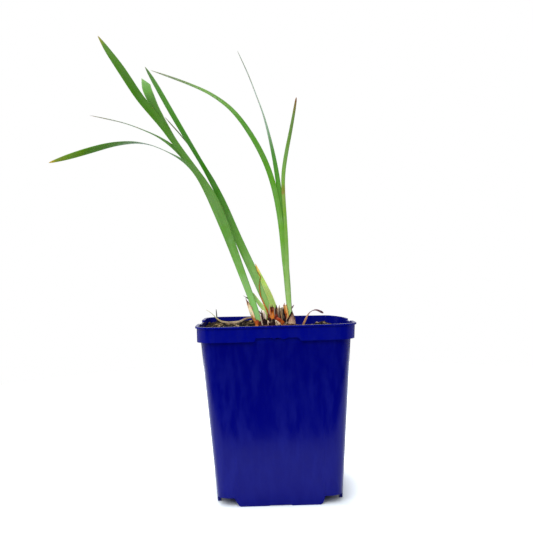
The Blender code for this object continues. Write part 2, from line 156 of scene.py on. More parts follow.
def finishPiece(piece, name, material, slotName, *stoodFor, smoothAngle=180):
    selectOnly(piece)
    bpy.ops.object.transform_apply(location=True, rotation=True, scale=True)
    bpy.ops.object.shade_smooth_by_angle(angle=math.radians(smoothAngle))
    piece.name = piece.data.name = name
    piece.data.materials.clear()
    piece.data.materials.append(material)
    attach(piece, "root")
    if stoodFor:
        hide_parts(*stoodFor)
    return piece


# Stage: white sweep whose floor glows with painted light except near the pot, dark room in front, soft panels
# above and to the sides

stageSizes = {
    "floorMiddle": (0, 330, 0),        # mm; the white floor ends a little way in front of the pot
    "floorRadius": 500,
    "floorColour": "#e6eef4",
    "paintedGlowFade": (31, 80),             # mm to each side of the pot's middle over which the floor's painted glow rises from none to full: further out it melts into the backdrop, and this fade sets how far the shadow round the pot reaches
    "floorPaintedGlow": (0.93, 0.965, 1, 1),  # colour of the floor's painted glow; a cool tint is left in the thin shadow
    "backdrop": 1.0,                   # white behind everything
    "roomLight": 0.38,                 # what the room adds to matt surfaces
    "roomGloss": 0.03,                 # and what it shows in reflections
    "panels": {                        # place and aim in mm, width and height in m, watts
        "panelKey": ((-330, -1200, 1000), (0, 0, 130), (1.6, 1.0), 25),
        "panelTop": ((-420, 200, 1450), (0, 60, 100), (1.5, 1.2), 13),
        "panelLeft": ((-1050, 300, 360), (0, 0, 150), (1.5, 1.1), 4),
        "panelRight": ((1050, 300, 360), (0, 0, 150), (1.5, 1.1), 3),
        "panelBack": ((0, 1250, 400), (0, 0, 125), (2.6, 0.5), 3.2),  # lights the tops of the lips
    },
}

bpy.context.scene.view_settings.view_transform = "Standard"  # the photograph's plain contrast

floor = startPiece(
    bpy.ops.mesh.primitive_circle_add, vertices=128, radius=stageSizes["floorRadius"] * mm, fill_type="NGON",
    location=[c * mm for c in stageSizes["floorMiddle"]])
floorPaint, add, floorShader = startMaterial("white_board_painted_glow", {
    "Base Color": stageSizes["floorColour"], "Roughness": 0.75, "Specular IOR Level": 0.2})
fromPot = add("Mapping", {"Vector": add("TexCoord").outputs["Object"], "Location": floor.location})
sideways = add("SeparateXYZ", {"Vector": add("VectorMath", {"Vector": fromPot}, operation="ABSOLUTE")})
reach = add("Math", {0: sideways.outputs["X"], 1: sideways.outputs["Y"]}, operation="MAXIMUM")
fadeFrom, fadeTo = stageSizes["paintedGlowFade"]
# Painted light: the floor glows as if lit, fading out towards the pot, so this glow and not the lamps sets how
# light and wide the shadow round the pot is.
setInputs(floorShader, {
    "Emission Color": stageSizes["floorPaintedGlow"],
    "Emission Strength": add(
        "MapRange", spread(reach, 0, 1, fadeFrom * mm, fadeTo * mm), interpolation_type="SMOOTHSTEP"),
    "Normal": add("Bump", {
        "Strength": 0.03, "Distance": mm, "Height": add("TexNoise", {"Scale": 40.0, "Detail": 3.0})})})
floor.data.materials.append(floorPaint)
floor.name = "floor"

for panelName, (place, aim, size, watts) in stageSizes["panels"].items():
    bpy.ops.object.light_add(type="AREA", location=[c * mm for c in place])
    panel = bpy.context.object
    panel.name = panelName
    panel.data.shape = "RECTANGLE"
    panel.data.size, panel.data.size_y = size
    panel.data.energy = watts
    panel.rotation_euler = (Vector(aim) - Vector(place)).to_track_quat("-Z", "Y").to_euler()

world = bpy.data.worlds.new("white_room")
world.use_nodes = True
bpy.context.scene.world = world
roomTree = world.node_tree
rayKind = addNode(roomTree, "LightPath")
mattOrGloss = addNode(roomTree, "Mix", {
    "Factor": rayKind.outputs["Is Glossy Ray"], "A": stageSizes["roomLight"], "B": stageSizes["roomGloss"]})
seenOrNot = addNode(roomTree, "Mix", {
    "Factor": rayKind.outputs["Is Camera Ray"], "A": mattOrGloss, "B": stageSizes["backdrop"]})
setInputs(roomTree.nodes["Background"], {"Color": (1, 1, 1, 1), "Strength": seenOrNot})

cameraSizes = {
    "place": (-4.35, -590, 157.3),  # mm: 0.6 m in front of the plant, a little above the rim
    "yaw": 0.083,                   # degrees
    "pitch": 0.505,
    "roll": 1.638,
    "focalPixels": 806.2,           # focal length in pixels of the photograph
    "imagePixels": 533,
    "sensor": 36.0,
}
bpy.ops.object.camera_add(location=[c * mm for c in cameraSizes["place"]])
camera = bpy.context.object
camera.data.sensor_width = cameraSizes["sensor"]
camera.data.lens = cameraSizes["focalPixels"] / cameraSizes["imagePixels"] * cameraSizes["sensor"]
camera.data.clip_start = 0.01
aimed = Matrix.Identity(3)
for axis, key in (("Z", "yaw"), ("X", "pitch"), ("Y", "roll")):
    aimed = aimed @ Matrix.Rotation(math.radians(cameraSizes[key]), 3, axis)
camera.rotation_euler = (aimed @ Matrix.Rotation(math.radians(90), 3, "X")).to_euler()
bpy.context.scene.camera = camera
print("stage, lights and camera are in place")


# Pot

potSizes = {
    "blue": "#00025e",
    "bandBlue": "#00056e",  # the band is a lighter blue than the wall below it
    "dusty": "#0c126c",
    "bandFoot": (110, 113), # mm, where the one colour goes over into the other
    "orangePeel": 1.3,      # mm between the ripples of the moulded skin
    "clouds": 28,           # and between clouds of dust
    "streakWide": 5.0,      # dried water has left smears on the walls, longer than wide
    "streakLong": 20.0,
    "edgeRound": 0.3,       # moulded edges are barely softened
    "wallThick": 1.1,
    "wallOut": 38,          # mm; every wall lies further out than this, the front wall and its band as given
    "wallFront": -49,
    "bandFront": -53,
    "ground": 0.1,          # points below this stand on the ground
    "skirtTop": 6.2,
    "skirtEnd": (28.3, 30.3, 2.2),  # where its edges end, at the ground and above; moved in this much
    "footWide": 0.6,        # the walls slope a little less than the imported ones
    "footRound": 2.0,       # the skirt's own corners are rounder
    "footThick": 1.6,       # and a bead thickens its ends on the inside
    "recessTop": 114.5,     # the raised lower edge of the band, on all four walls
    "recessFrom": (111, 116),  # heights that hold its ends
    "recessEnds": (15, 17, 19),  # how far to each side these reach: least, middle and most
    "frontEnds": (3.3, -1.4, 0.9),  # in front its ends move this much to the right, and the left one is steep
    "frontWaves": (         # and its edge was moulded unevenly: middle, drop and half width
        (-1.7, 0.9, 0.7), (0.4, 0.9, 0.7), (5.2, 1.1, 1.7), (10.5, 0.3, 1.3), (14.1, 0.4, 0.7)),
    "lipHalf": 55,
    "rimFoot": 118,
    "rimLifts": (-0.45, 0.3, -0.014, -1.6),  # at the front, at the back, a mm to the right, back right corner
    "cornerFrom": 40,       # that corner begins this far to the right
    "leftOut": 0.5,         # the left wall bulges this much below the lip
}


# Injection-moulded polypropylene: deep blue, satin gloss, faint dried smears and a slight orange peel.
def makePotPlastic():
    material, add, shader = startMaterial("moulded_polypropylene_blue", {
        "IOR": 1.49, "Specular IOR Level": 0.095})
    place = add("TexCoord").outputs["Object"]
    runWide, runLong = 1 / (potSizes["streakWide"] * mm), 1 / (potSizes["streakLong"] * mm)
    runs = add("TexNoise", {
        "Vector": add("Mapping", {"Vector": place, "Scale": (runWide, runWide, runLong)}),
        "Scale": 1.0, "Detail": 3.0, "Roughness": 0.6})
    clouds = add("TexNoise", {"Vector": place, "Scale": 1 / (potSizes["clouds"] * mm), "Detail": 4.0})
    skin = add("TexNoise", {
        "Vector": place, "Scale": 1 / (potSizes["orangePeel"] * mm), "Detail": 2.0})
    runAmount = add("MapRange", spread(runs, 0, 0.75, 0.42, 0.66))
    height = add("SeparateXYZ", {"Vector": place}).outputs["Z"]
    bandFrom, bandTo = potSizes["bandFoot"]
    onBand = add("MapRange", spread(height, 0, 1, bandFrom * mm, bandTo * mm))
    # a lighter blue on the band than on the wall, going over between the bandFoot heights
    wallOrBandBlue = add("Mix", {"Factor": onBand, "A": potSizes["blue"], "B": potSizes["bandBlue"]}, data_type="RGBA")
    dustAmount = add("Math", {0: runAmount, 1: clouds}, operation="MULTIPLY")
    setInputs(shader, {
        "Base Color": add("Mix", {"Factor": dustAmount, "A": wallOrBandBlue, "B": potSizes["dusty"]}, data_type="RGBA"),
        "Roughness": add("MapRange", spread(runs, 0.16, 0.25, 0.35, 0.65)),
        "Normal": add("Bump", {"Strength": 0.16, "Distance": 0.1 * mm, "Height": skin})})
    return material


pot = copyNode("pot")
with editing():
    bpy.ops.mesh.dissolve_limited(angle_limit=math.radians(0.5))
potPoints = pot.data.vertices
footOuter = max(abs(point.co.y) for point in potPoints if point.co.z < potSizes["ground"] * mm) / mm

# the ends of the recess in the front
recessLow, recessHigh = potSizes["recessFrom"]
least, middle, most = potSizes["recessEnds"]
leftEnd, rightEnd, steep = potSizes["frontEnds"]
for point in potPoints:
    x, y, z = point.co / mm
    if y < potSizes["wallFront"] and recessLow < z < recessHigh and least < abs(x) < most:
        point.co.x += (rightEnd if x > 0 else leftEnd - (steep if x > -middle else 0)) * mm


def onRecess(spot):
    return abs(spot.z - potSizes["recessTop"]) < 0.15 and spot.y < potSizes["bandFront"]


def recessEdge(edge):  # the front's long edge over the recess
    ends = [potPoints[i].co / mm for i in edge.vertices]
    return all(onRecess(end) for end in ends) and (ends[0] - ends[1]).length > 5


with picked(pot, "EDGE", recessEdge):
    bpy.ops.mesh.subdivide(number_cuts=44)
for point in potPoints:
    spot = point.co / mm
    if onRecess(spot) and abs(spot.x) < 16.5:
        point.co.z -= mm * sum(
            deep * math.exp(-((spot.x - middle) / half) ** 2) for middle, deep, half in potSizes["frontWaves"])

# the thin rim has warped: high at the back left, low at the back right corner
front, back, slope, corner = potSizes["rimLifts"]
lipHalf, cornerFrom = potSizes["lipHalf"], potSizes["cornerFrom"]
for point in potPoints:
    x, y, z = point.co / mm
    if z > potSizes["rimFoot"]:
        toBack = (y + lipHalf) / (2 * lipHalf)
        nearCorner = max(0, (x - cornerFrom) / (lipHalf - cornerFrom)) ** 2
        lift = front * (1 - toBack) + (back + slope * x) * toBack + corner * nearCorner * toBack ** 2
        point.co.z += lift * mm
    elif x < -potSizes["wallOut"]:
        point.co.x -= potSizes["leftOut"] * mm

skirtLow, skirtHigh, skirtMove = potSizes["skirtEnd"]
for point in potPoints:
    for axis in (0, 1):
        along, out = abs(point.co[axis]) / mm, abs(point.co[1 - axis]) / mm
        if point.co.z < potSizes["skirtTop"] * mm and out > potSizes["wallOut"]:
            if skirtLow < along - skirtMove + 0.5 < skirtHigh + 1:
                point.co[axis] -= math.copysign(skirtMove * mm, point.co[axis])
            point.co[1 - axis] += math.copysign(potSizes["footWide"] * mm, point.co[1 - axis])


def skirtColumn(point, axis):  # on the wall that runs along this axis, at an end of its skirt
    return abs(abs(point[axis]) - skirtLow) < 0.5 and abs(point[1 - axis]) > potSizes["wallOut"]


def acrossWall(edge):  # an edge through the wall's thickness, at the skirt's foot
    ends = [potPoints[i].co / mm for i in edge.vertices]
    level = max(end.z for end in ends) < potSizes["ground"]
    return level and any(all(skirtColumn(end, axis) for end in ends) for axis in (0, 1))


for point in potPoints:  # the bead: the inner corner of each end moves inwards
    spot = point.co / mm
    for axis in (0, 1):
        inner = abs(spot[1 - axis]) < footOuter - potSizes["wallThick"] / 2 + potSizes["footWide"]
        if spot.z < potSizes["ground"] and skirtColumn(spot, axis) and inner:
            point.co[1 - axis] -= math.copysign(potSizes["footThick"] * mm, spot[1 - axis])

with picked(pot, "EDGE", acrossWall):
    bpy.ops.mesh.bevel(offset=potSizes["footRound"] * mm, segments=4, affect="EDGES", clamp_overlap=True)
applyModifier(
    pot, "BEVEL", width=potSizes["edgeRound"] * mm, segments=2, limit_method="ANGLE",
    angle_limit=math.radians(38), use_clamp_overlap=True)
finishPiece(pot, "pot_moulded", makePotPlastic(), "pot", "pot", smoothAngle=35)
applyModifier(pot, "WEIGHTED_NORMAL", mode="FACE_AREA", weight=100, keep_sharp=True)
print("pot is moulded:", len(pot.data.polygons), "faces")


# Skins of the plant: green leaf, dry husk and fibre share one layered build

# u runs across a piece and v from its foot to its tip. The stops give its colours along v, the veins run
# lengthwise at their real spacing, and the margin is paler or drier than the middle.
def makeSkin(look, width, length):
    material, add, shader = startMaterial(look["skin"], {
        "Specular IOR Level": look["gloss"], "IOR": 1.45,
        "Subsurface Weight": look["glow"], "Subsurface Scale": 0.6 * mm})
    coords = add("TexCoord")
    flat = coords.outputs["UV"]
    veins = add("TexNoise", {
        "Vector": add("Mapping", {
            "Vector": flat, "Scale": (width / look["vein"], length / look["streak"], 1)}),
        "Scale": 1.0, "Detail": 3.0, "Roughness": 0.55})
    patches = add("TexNoise", {
        "Vector": coords.outputs["Object"], "Scale": 1 / (look["patch"] * mm), "Detail": 3.0})
    split = add("SeparateXYZ", {"Vector": flat})
    wander = add("MapRange", spread(patches, -look["wander"], look["wander"]))
    height = add("Math", {0: split.outputs["Y"], 1: wander}, operation="ADD")
    along = add("ValToRGB", {"Fac": height}, look["stops"])
    fromMargin = add("Math", {0: split.outputs["X"], 1: 0.5}, operation="PINGPONG")
    onMargin = add("MapRange", spread(fromMargin, 0, 0.6, look["marginWide"], 0))
    edged = add("Mix", {"Factor": onMargin, "A": along, "B": look["margin"]}, data_type="RGBA")
    skin = add("HueSaturation", {
        "Color": edged, "Saturation": add("MapRange", spread(patches, 0.92, 1.08)),
        "Value": add("MapRange", spread(veins, 1 - look["contrast"], 1 + look["contrast"]))})
    if "stripe" in look:  # dark or pale lines that run with the veins
        lines = add("MapRange", spread(veins, 0, look["stripeShare"], 0.5, 0.64))
        skin = add("Mix", {"Factor": lines, "A": skin, "B": look["stripe"]}, data_type="RGBA")
    setInputs(shader, {
        "Base Color": skin,
        "Roughness": add("MapRange", spread(veins, look["rough"] - 0.08, look["rough"] + 0.1)),
        "Normal": add("Bump", {"Strength": look["relief"], "Distance": 0.12 * mm, "Height": veins})})
    return material


# How a blade, a husk or a fibre grows: one ring of points, turned, scaled and moved from place to place

def smoothThrough(rows, spans):  # more rows, on a smooth curve through the given ones
    marks = [0.0]
    for here, after in zip(rows, rows[1:]):
        marks.append(marks[-1] + math.dist(here[:3], after[:3]))
    slopes = []
    for index in range(len(rows)):
        low, high = max(0, index - 1), min(len(rows) - 1, index + 1)
        slopes.append([(b - a) / (marks[high] - marks[low]) for a, b in zip(rows[low], rows[high])])
    smooth = []
    for index in range(len(rows) - 1):
        length = marks[index + 1] - marks[index]
        for step in range(spans):
            t = step / spans
            weights = (2 * t**3 - 3 * t**2 + 1, (t**3 - 2 * t**2 + t) * length,
                       3 * t**2 - 2 * t**3, (t**3 - t**2) * length)
            parts = zip(rows[index], slopes[index], rows[index + 1], slopes[index + 1])
            smooth.append([sum(w * p for w, p in zip(weights, part)) for part in parts])
    return smooth + [rows[-1]]


# A row is x, y, z and width in mm, and a turn in degrees where the piece isn't seen from its flat side. From
# each one comes the place, frame (across, depth, along) and width of a ring.
def stationsThrough(rows, spans):
    rows = smoothThrough([(*row, 0)[:5] for row in rows], spans)
    stations = []
    for index, (x, y, z, width, turn) in enumerate(rows):
        before, after = rows[max(0, index - 1)], rows[min(len(rows) - 1, index + 1)]
        along = (Vector(after[:3]) - Vector(before[:3])).normalized()
        front = Vector((0, 1, 0))
        front = (front - along * front.dot(along)).normalized()
        side = along.cross(front)
        across = side * math.cos(math.radians(turn)) + front * math.sin(math.radians(turn))
        facing = Matrix((across, along.cross(across), along)).transposed()
        stations.append((Vector((x, y, z)) * mm, facing, width * mm))
    return stations


# profile is the ring's outline in half widths; an open one stays a sheet. The UV map is laid while each
# ring can still be told by its number.
def grow(profile, stations, acrossOf, openSheet=False):
    count = len(profile)
    piece = startPiece(
        bpy.ops.mesh.primitive_circle_add, vertices=count, radius=1, fill_type="NOTHING", calc_uvs=False)
    place, facing, width = stations[0]
    for vertex, (u, v) in zip(piece.data.vertices, profile):
        vertex.co = facing @ Vector((u, v, 0)) * (width / 2) + place
    if openSheet:
        with picked(piece, "EDGE", lambda edge: set(edge.vertices) == {0, count - 1}):
            bpy.ops.mesh.delete(type="EDGE_FACE")
    run = [0.0]
    with editing("SELECT"):
        for (placeA, facingA, widthA), (placeB, facingB, widthB) in zip(stations, stations[1:]):
            axis, angle = (facingB @ facingA.transposed()).to_quaternion().to_axis_angle()
            bpy.ops.mesh.spin(steps=1, angle=-angle, center=placeA, axis=axis)
            bpy.ops.transform.resize(value=[widthB / widthA] * 3, center_override=placeA)
            bpy.ops.transform.translate(value=placeB - placeA)
            run.append(run[-1] + (placeB - placeA).length)
    layer = piece.data.uv_layers.new(name="alongPiece")
    for loop in piece.data.loops:
        ring, column = divmod(loop.vertex_index, count)
        layer.data[loop.index].uv = (acrossOf(column), run[ring] / run[-1])
    return piece


def closeEnds(piece):  # the last ring is still selected: it closes to a point, and the first gets a face
    with editing():
        bpy.ops.mesh.merge(type="CENTER")
        bpy.ops.mesh.select_mode(type="EDGE")
        bpy.ops.mesh.select_all(action="DESELECT")
        bpy.ops.mesh.select_non_manifold()
        bpy.ops.mesh.edge_face_add()
        bpy.ops.mesh.select_all(action="SELECT")
        bpy.ops.mesh.normals_make_consistent(inside=False)
    return piece


def lengthOf(rows):
    return sum(math.dist(a[:3], b[:3]) for a, b in zip(rows, rows[1:]))


# A grown piece comes with its width and length in mm, which its own skin needs.
def dress(name, grown, look, slotName, *stoodFor):
    piece, width, length = grown
    finishPiece(piece, name, makeSkin(look, width, length), slotName, *stoodFor)


# Leaves

bladeShape = {
    "halfRing": 12,       # steps across one face of a blade
    "swell": 1.07,        # the smoothing that follows takes this much off the width
    "thick": 0.13,        # of the width
    "edgeThick": 0.03,
    "rib": 0.022,         # the midrib stands proud on the back
    "ribWide": 0.14,
    "ridge": 0.008,       # alternate points are raised as veins
    "fold": 0.05,         # and the two halves lean a little towards the front
    "spans": 3,           # rings between two given rows
}
bladeRing = []
for face in (1, -1):
    for step in range(bladeShape["halfRing"]):
        u = face * (1 - 2 * step / bladeShape["halfRing"])
        thick = bladeShape["edgeThick"] + bladeShape["thick"] * math.sqrt(max(0.0, 1 - u * u))
        ridge = bladeShape["ridge"] * (-1) ** step
        rib = bladeShape["rib"] * math.exp(-(u / bladeShape["ribWide"]) ** 2) if face > 0 else 0.0
        bent = rib - bladeShape["fold"] * abs(u) ** 1.5
        bladeRing.append((u * bladeShape["swell"], face * (thick + ridge) + bent))


def growBlade(rows):
    def acrossOf(column):
        return (bladeRing[column][0] / bladeShape["swell"] + 1) / 2

    piece = closeEnds(grow(bladeRing, stationsThrough(rows, bladeShape["spans"]), acrossOf))
    soften(piece)
    return piece, max(row[3] for row in rows), lengthOf(rows)


# Each shoot is a fan: its blades share the lower part, x, z and width in mm, one behind the other.
leftShoot = [
    (-10.8, 120.5, 2.6), (-11.8, 123.8, 3.2), (-13.4, 128, 4.6), (-17, 140, 4.6), (-24, 160.5, 5.3),
    (-31.2, 182, 6.4), (-41.0, 208.5, 7.4), (-47.7, 222, 5.8), (-54.3, 233.2, 4.0)]
middleShoot = [
    (0.3, 120.5, 5.0), (-3.5, 131, 5.8), (-7.3, 141, 6.5), (-15, 159, 6.2),
    (-25.5, 183.5, 5.8), (-35.5, 209, 5.1), (-42.3, 224, 4.2)]
rightShoot = [
    (11.3, 120.5, 1.8), (11.2, 126, 2.3), (10.9, 130.5, 3.3), (10.5, 135.5, 3.8), (10.2, 140.5, 4.1),
    (9.6, 153.5, 4.5)]


def onShoot(shoot, depth, upper, narrow=1.0):
    return [(x, depth, z, width * narrow) for x, z, width in shoot] + upper


leafCommon = {
    "vein": 0.65, "streak": 24, "contrast": 0.14, "rough": 0.47, "gloss": 0.17, "relief": 0.3, "patch": 9,
    "wander": 0.02, "glow": 0.08, "margin": "#5a8c3a", "marginWide": 0.16}

leaves = {
    "blade_left_tall": {
        "rows": onShoot(leftShoot, -5.5, [
            (-62, -5.5, 244.3, 3.7), (-69.8, -5.6, 255, 4), (-76.8, -5.9, 265.8, 4.9),
            (-84.2, -6.3, 275.4, 5.4), (-93.9, -6.9, 288, 5.8), (-103.9, -8.2, 304.1, 5.8),
            (-109, -9, 312.1, 5.3), (-114.4, -10, 320.1, 4.2), (-118.4, -11, 326.4, 2.6),
            (-122, -12, 332.1, 0.4)]),
        "skin": "waxy_leaf_tall", "stops": {
            0: "#8cc06c", 0.04: "#88c46c", 0.1: "#84b25e", 0.27: "#5a9a36", 0.5: "#4f8030", 0.62: "#45751f",
            0.8: "#376b07", 0.9: "#417213", 0.965: "#528028", 1: "#a08a34"},
    },
    "blade_left_cut": {
        "rows": onShoot(leftShoot, -4.4, [
            (-62.2, -4, 244.6, 3.8), (-69.5, -3.4, 255.4, 4), (-75.6, -2.4, 266.3, 4.4),
            (-80, -1.4, 274.8, 4.7), (-83.6, -0.4, 281.5, 5.5), (-87, 0.8, 289.4, 6.4),
            (-89.6, 1.6, 296.2, 6.6), (-90.2, 2, 301.5, 6.2), (-90.4, 2.1, 307, 5.4)]),
        "skin": "waxy_leaf_cut", "margin": "#9fb98a", "stops": {
            0: "#8aa45c", 0.03: "#79a956", 0.1: "#80aa5c", 0.45: "#56843b", 0.7: "#527c38", 0.8: "#406d19",
            0.89: "#3c6f15", 0.95: "#5f9440", 0.985: "#7fae68", 1: "#93b880"},
    },
    "blade_left_side": {
        "rows": onShoot(leftShoot, -3.3, [
            (-60.8, -2.2, 240.8, 3.4), (-66.5, -0.2, 247.6, 3.3, 10), (-72.2, 1.7, 253, 3, 35),
            (-80.5, 4.5, 259.3, 2.7, 62), (-89.5, 7.5, 264.5, 2.2, 76), (-107.5, 13.5, 272.7, 1.8, 80),
            (-124, 19, 278, 1.6, 74), (-138.2, 24.2, 282.2, 0.4, 70)]),
        "skin": "waxy_leaf_side", "stops": {
            0: "#8aa45c", 0.03: "#79a956", 0.1: "#80aa5c", 0.5: "#547e39", 0.66: "#4f7e2f", 0.76: "#607f48",
            0.86: "#848a7b", 0.94: "#847f6a", 1: "#7b6854"},
    },
    "blade_left_arch": {
        "rows": onShoot(leftShoot[:8], -6.75, [
            (-53.2, -7.5, 230.4, 4, 6), (-58.4, -8.3, 236.4, 3.2, 25), (-64.4, -9.3, 241.3, 2.5, 50),
            (-73, -11.2, 246.2, 2.2, 80), (-81.5, -13.6, 250.1, 2, 86), (-89.2, -15.6, 252.3, 2.4, 82),
            (-98.5, -18, 253.1, 3.4, 68), (-112, -21.5, 251.4, 4.2, 48), (-126, -25.5, 247.4, 4.5, 28),
            (-139.5, -29.5, 242.9, 3.9, 22), (-149.5, -32.5, 239.5, 2, 20), (-153.9, -34, 238, 0.4, 20)]),
        # from about 0.56 to 0.75 along, where the blade turns edge-on over the arch, the stops are pale grey: a
        # painted sheen
        "skin": "waxy_leaf_arch_painted_sheen", "stops": {
            0: "#8cc070", 0.05: "#86c26c", 0.12: "#7cb25a", 0.28: "#5b8e39", 0.5: "#537e37",
            0.56: "#568040", 0.62: "#65825a", 0.69: "#7a877c", 0.75: "#617e56", 0.81: "#4f7733",
            0.88: "#46701f", 0.94: "#5f8321", 0.98: "#77852a", 1: "#b7a035"},
    },
    "blade_middle_broad": {
        "rows": onShoot(middleShoot, 1.4, [
            (-49.3, 3.2, 237, 3.9, 36), (-58.8, 5, 254, 4.2, 38), (-71.8, 8.2, 277.5, 4.6, 34),
            (-83.2, 11.3, 299, 4, 32), (-89.3, 13, 310, 2.5, 34), (-92.5, 14, 315.6, 0.4, 40)]),
        "skin": "waxy_leaf_broad", "stops": {
            0: "#97a54a", 0.1: "#88b866", 0.32: "#5c8f38", 0.48: "#3c7420", 0.55: "#2f6712", 0.7: "#3c7426",
            0.8: "#427a24", 0.92: "#4a7e30", 0.98: "#557644", 1: "#74794f"},
    },
    "blade_middle_inner": {
        "rows": onShoot(middleShoot[:6], 2.85, [
            (-49.5, 8.6, 236.5, 2.8, 60), (-58, 11.8, 251.3, 2.6, 70), (-67, 15.2, 263.3, 2.4, 72),
            (-75.8, 18.7, 274, 1.8, 70), (-79.3, 20, 278.4, 0.5, 70)], narrow=0.75),
        "skin": "waxy_leaf_inner", "stops": {
            0: "#97a54a", 0.12: "#6a9740", 0.5: "#3c6f25", 0.8: "#316018", 0.9: "#66734c", 1: "#76714a"},
    },
    "blade_middle_spear": {
        "rows": [
            (3.4, 0.1, 120.5, 4), (0.4, 0.1, 129.8, 4.1), (-3.1, 0.1, 139.8, 4.2), (-6.7, -0.1, 148.4, 3.7),
            (-10, -0.4, 156.4, 2.3), (-13.5, -0.9, 165.3, 0.5)],
        "skin": "young_spear_leaf", "glow": 0.2, "margin": "#d8dc9a", "stops": {
            0: "#a2ae66", 0.35: "#a0bf66", 0.55: "#aec470", 0.64: "#b8da6c", 0.78: "#a6c65c",
            0.85: "#dcd66a", 0.95: "#eadc7a", 1: "#dcae58"},
    },
    "blade_thin_pale": {
        "rows": [
            (-4.6, -2, 120.5, 2.3), (-6.4, -2, 128.4, 2.6), (-8.9, -2, 132.8, 3), (-11.4, -2, 136.1, 2.9),
            (-13.7, -1.9, 139.5, 2.4), (-16.6, -1.7, 144.6, 1.2)],
        "skin": "young_thin_leaf", "glow": 0.2, "margin": "#cfd890", "stops": {
            0: "#c4c87a", 0.37: "#b9d07c", 0.68: "#a6cc78", 1: "#8fb86c"},
    },
    "blade_right_arch": {
        "rows": onShoot(rightShoot, 3, [
            (8.3, 3, 167, 4.1), (6.2, 3, 194, 4), (2.6, 3, 218, 4), (-3.7, 1.8, 239.3, 4),
            (-14.3, -1.4, 260, 3.7, 15), (-27, -5.2, 277, 3.3, 32), (-41.5, -9.2, 287.8, 2.8, 45),
            (-55.6, -12.8, 294.2, 2.3, 50), (-69.7, -16.6, 299.2, 1.8, 50),
            (-84.6, -20.3, 304.1, 0.4, 50)]),
        "skin": "waxy_leaf_right_arch", "stops": {
            0: "#b0c494", 0.09: "#9cc27a", 0.2: "#74a749", 0.43: "#56902b", 0.55: "#528a2a",
            0.66: "#559034", 0.75: "#74a34e", 0.83: "#86b060", 0.9: "#869b6c", 1: "#a5a894"},
    },
    "blade_right_upright": {
        "rows": onShoot(rightShoot, 4.1, [
            (9, 4.1, 167.7, 4.3), (7.6, 4.1, 191.5, 3.7), (5.6, 4.2, 220, 3.6, 8), (2.2, 5, 245, 3.5, 40),
            (-3.6, 7.4, 272.5, 3.2, 72), (-9.7, 9.6, 291.5, 2.8, 80), (-14.7, 11.3, 306, 2.2, 76),
            (-20.2, 13.1, 319.6, 1.3, 70), (-22.8, 14, 325.8, 0.5, 70)]),
        # from about 0.72 along to the tip, where the blade turns edge-on, the stops are pale grey: a painted
        # sheen
        "skin": "waxy_leaf_upright_painted_sheen", "stops": {
            0: "#b0c494", 0.1: "#92ba70", 0.25: "#74a349", 0.47: "#4a8620", 0.6: "#467c31", 0.72: "#8aa08c",
            0.82: "#a3aca6", 0.92: "#8a958c", 1: "#8e9086"},
    },
    "blade_right_short": {
        "rows": onShoot(rightShoot, 1.9, [
            (9.9, 1.9, 172, 3), (9.6, 1.9, 194, 2.6), (8.7, 1.8, 219, 2.7), (9.2, 0.9, 231, 2.9),
            (11.5, -0.9, 244.5, 2.8), (14.6, -3, 258.2, 2.5), (17.6, -5.4, 272, 2),
            (19.4, -7.3, 281.5, 1.4), (19.9, -7.9, 284.4, 0.5)], narrow=0.85),
        "skin": "waxy_leaf_short", "stops": {
            0: "#d6dca0", 0.03: "#bcd68e", 0.06: "#a4c880", 0.14: "#90ba66", 0.31: "#76a549",
            0.5: "#6e993a", 0.56: "#7c9a3c", 0.575: "#857a3a", 0.595: "#748028", 0.63: "#6f9a3c",
            0.7: "#6a9744", 0.84: "#5c8031", 0.92: "#668240", 0.97: "#7b683a", 1: "#7d442d"},
    },
}
for pieceName, leaf in leaves.items():
    slotName = "young_leaf" if "young" in leaf["skin"] else "leaf"
    nodeName = pieceName.replace("blade", "leaf")
    dress(pieceName, growBlade(leaf["rows"]), {**leafCommon, **leaf}, slotName, nodeName)

# the blunt blade was cut with scissors: one straight cut down to the right, its right corner off too
cutAbove = 285
cuts = ((-92.7, 0, 303.3), (0.6, 0, 0.8)), ((-86.6, 0, 298.4), (0.93, 0, 0.37))
blunt = bpy.data.objects["blade_left_cut"]
selectOnly(blunt)
for place, facing in cuts:
    with picked(blunt, "FACE", lambda face: face.center.z > cutAbove * mm):
        bpy.ops.mesh.bisect(plane_co=[c * mm for c in place], plane_no=facing, use_fill=True, clear_outer=True)
print("leaves have grown")


# Soil: potting mix with crumbs, bark chips and rootlets

soilSizes = {
    "cuts": 4,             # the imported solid's top is cut this much finer
    "looseFrom": 113,      # mm; the mix is rough from this height up, and lies in hollows from the next
    "heapFrom": 117,
    "clod": (4.5, 0.9),    # how wide and how high clods, crumbs and grit stand
    "crumb": (1.8, 0.7),
    "grit": (0.8, 0.3),
    "inside": 50.5,        # the mix is rough up to this far from the middle
    "settled": 0.9,        # it has sunk this much towards the back wall
    "hollows": (           # x, y, half sizes and depth
        (-22, 31, 20, 24, 2.5), (40, 36, 12, 12, 0.8), (-51, 12, 4.5, 34, 2.4)),
    "crown": (17.5, 12.5), # half sizes of the rootstock, which nothing lies on
    "litterReach": 48.5,   # loose bits lie up to this far from the middle, within rounded corners
    "cornerFrom": 37,
    "cornerRound": 11,
    "bark": 170,           # how many of each lie on top
    "crumbs": 520,
    "rootlets": 50,
    "seenChips": (         # x, y, size and tone of those that show over the rim
        (33.2, 34.5, 0.75, 0.9), (36, 36, 0.72, 0.88), (38.4, 34.5, 0.72, 0.87), (40.6, 36, 0.6, 0.85),
        (47.4, 36, 1.0, 0.25), (-33, 5, 0.6, 0.9), (-28, 8, 0.55, 1.0), (-21, 6, 0.5, 0.8), (-39, 8, 0.5, 0.7),
        (-24, 4, 0.5, 0.95)),
}


def fromCrown(x, y):  # 1 at the edge of the rootstock
    return math.hypot(x / soilSizes["crown"][0], y / soilSizes["crown"][1])


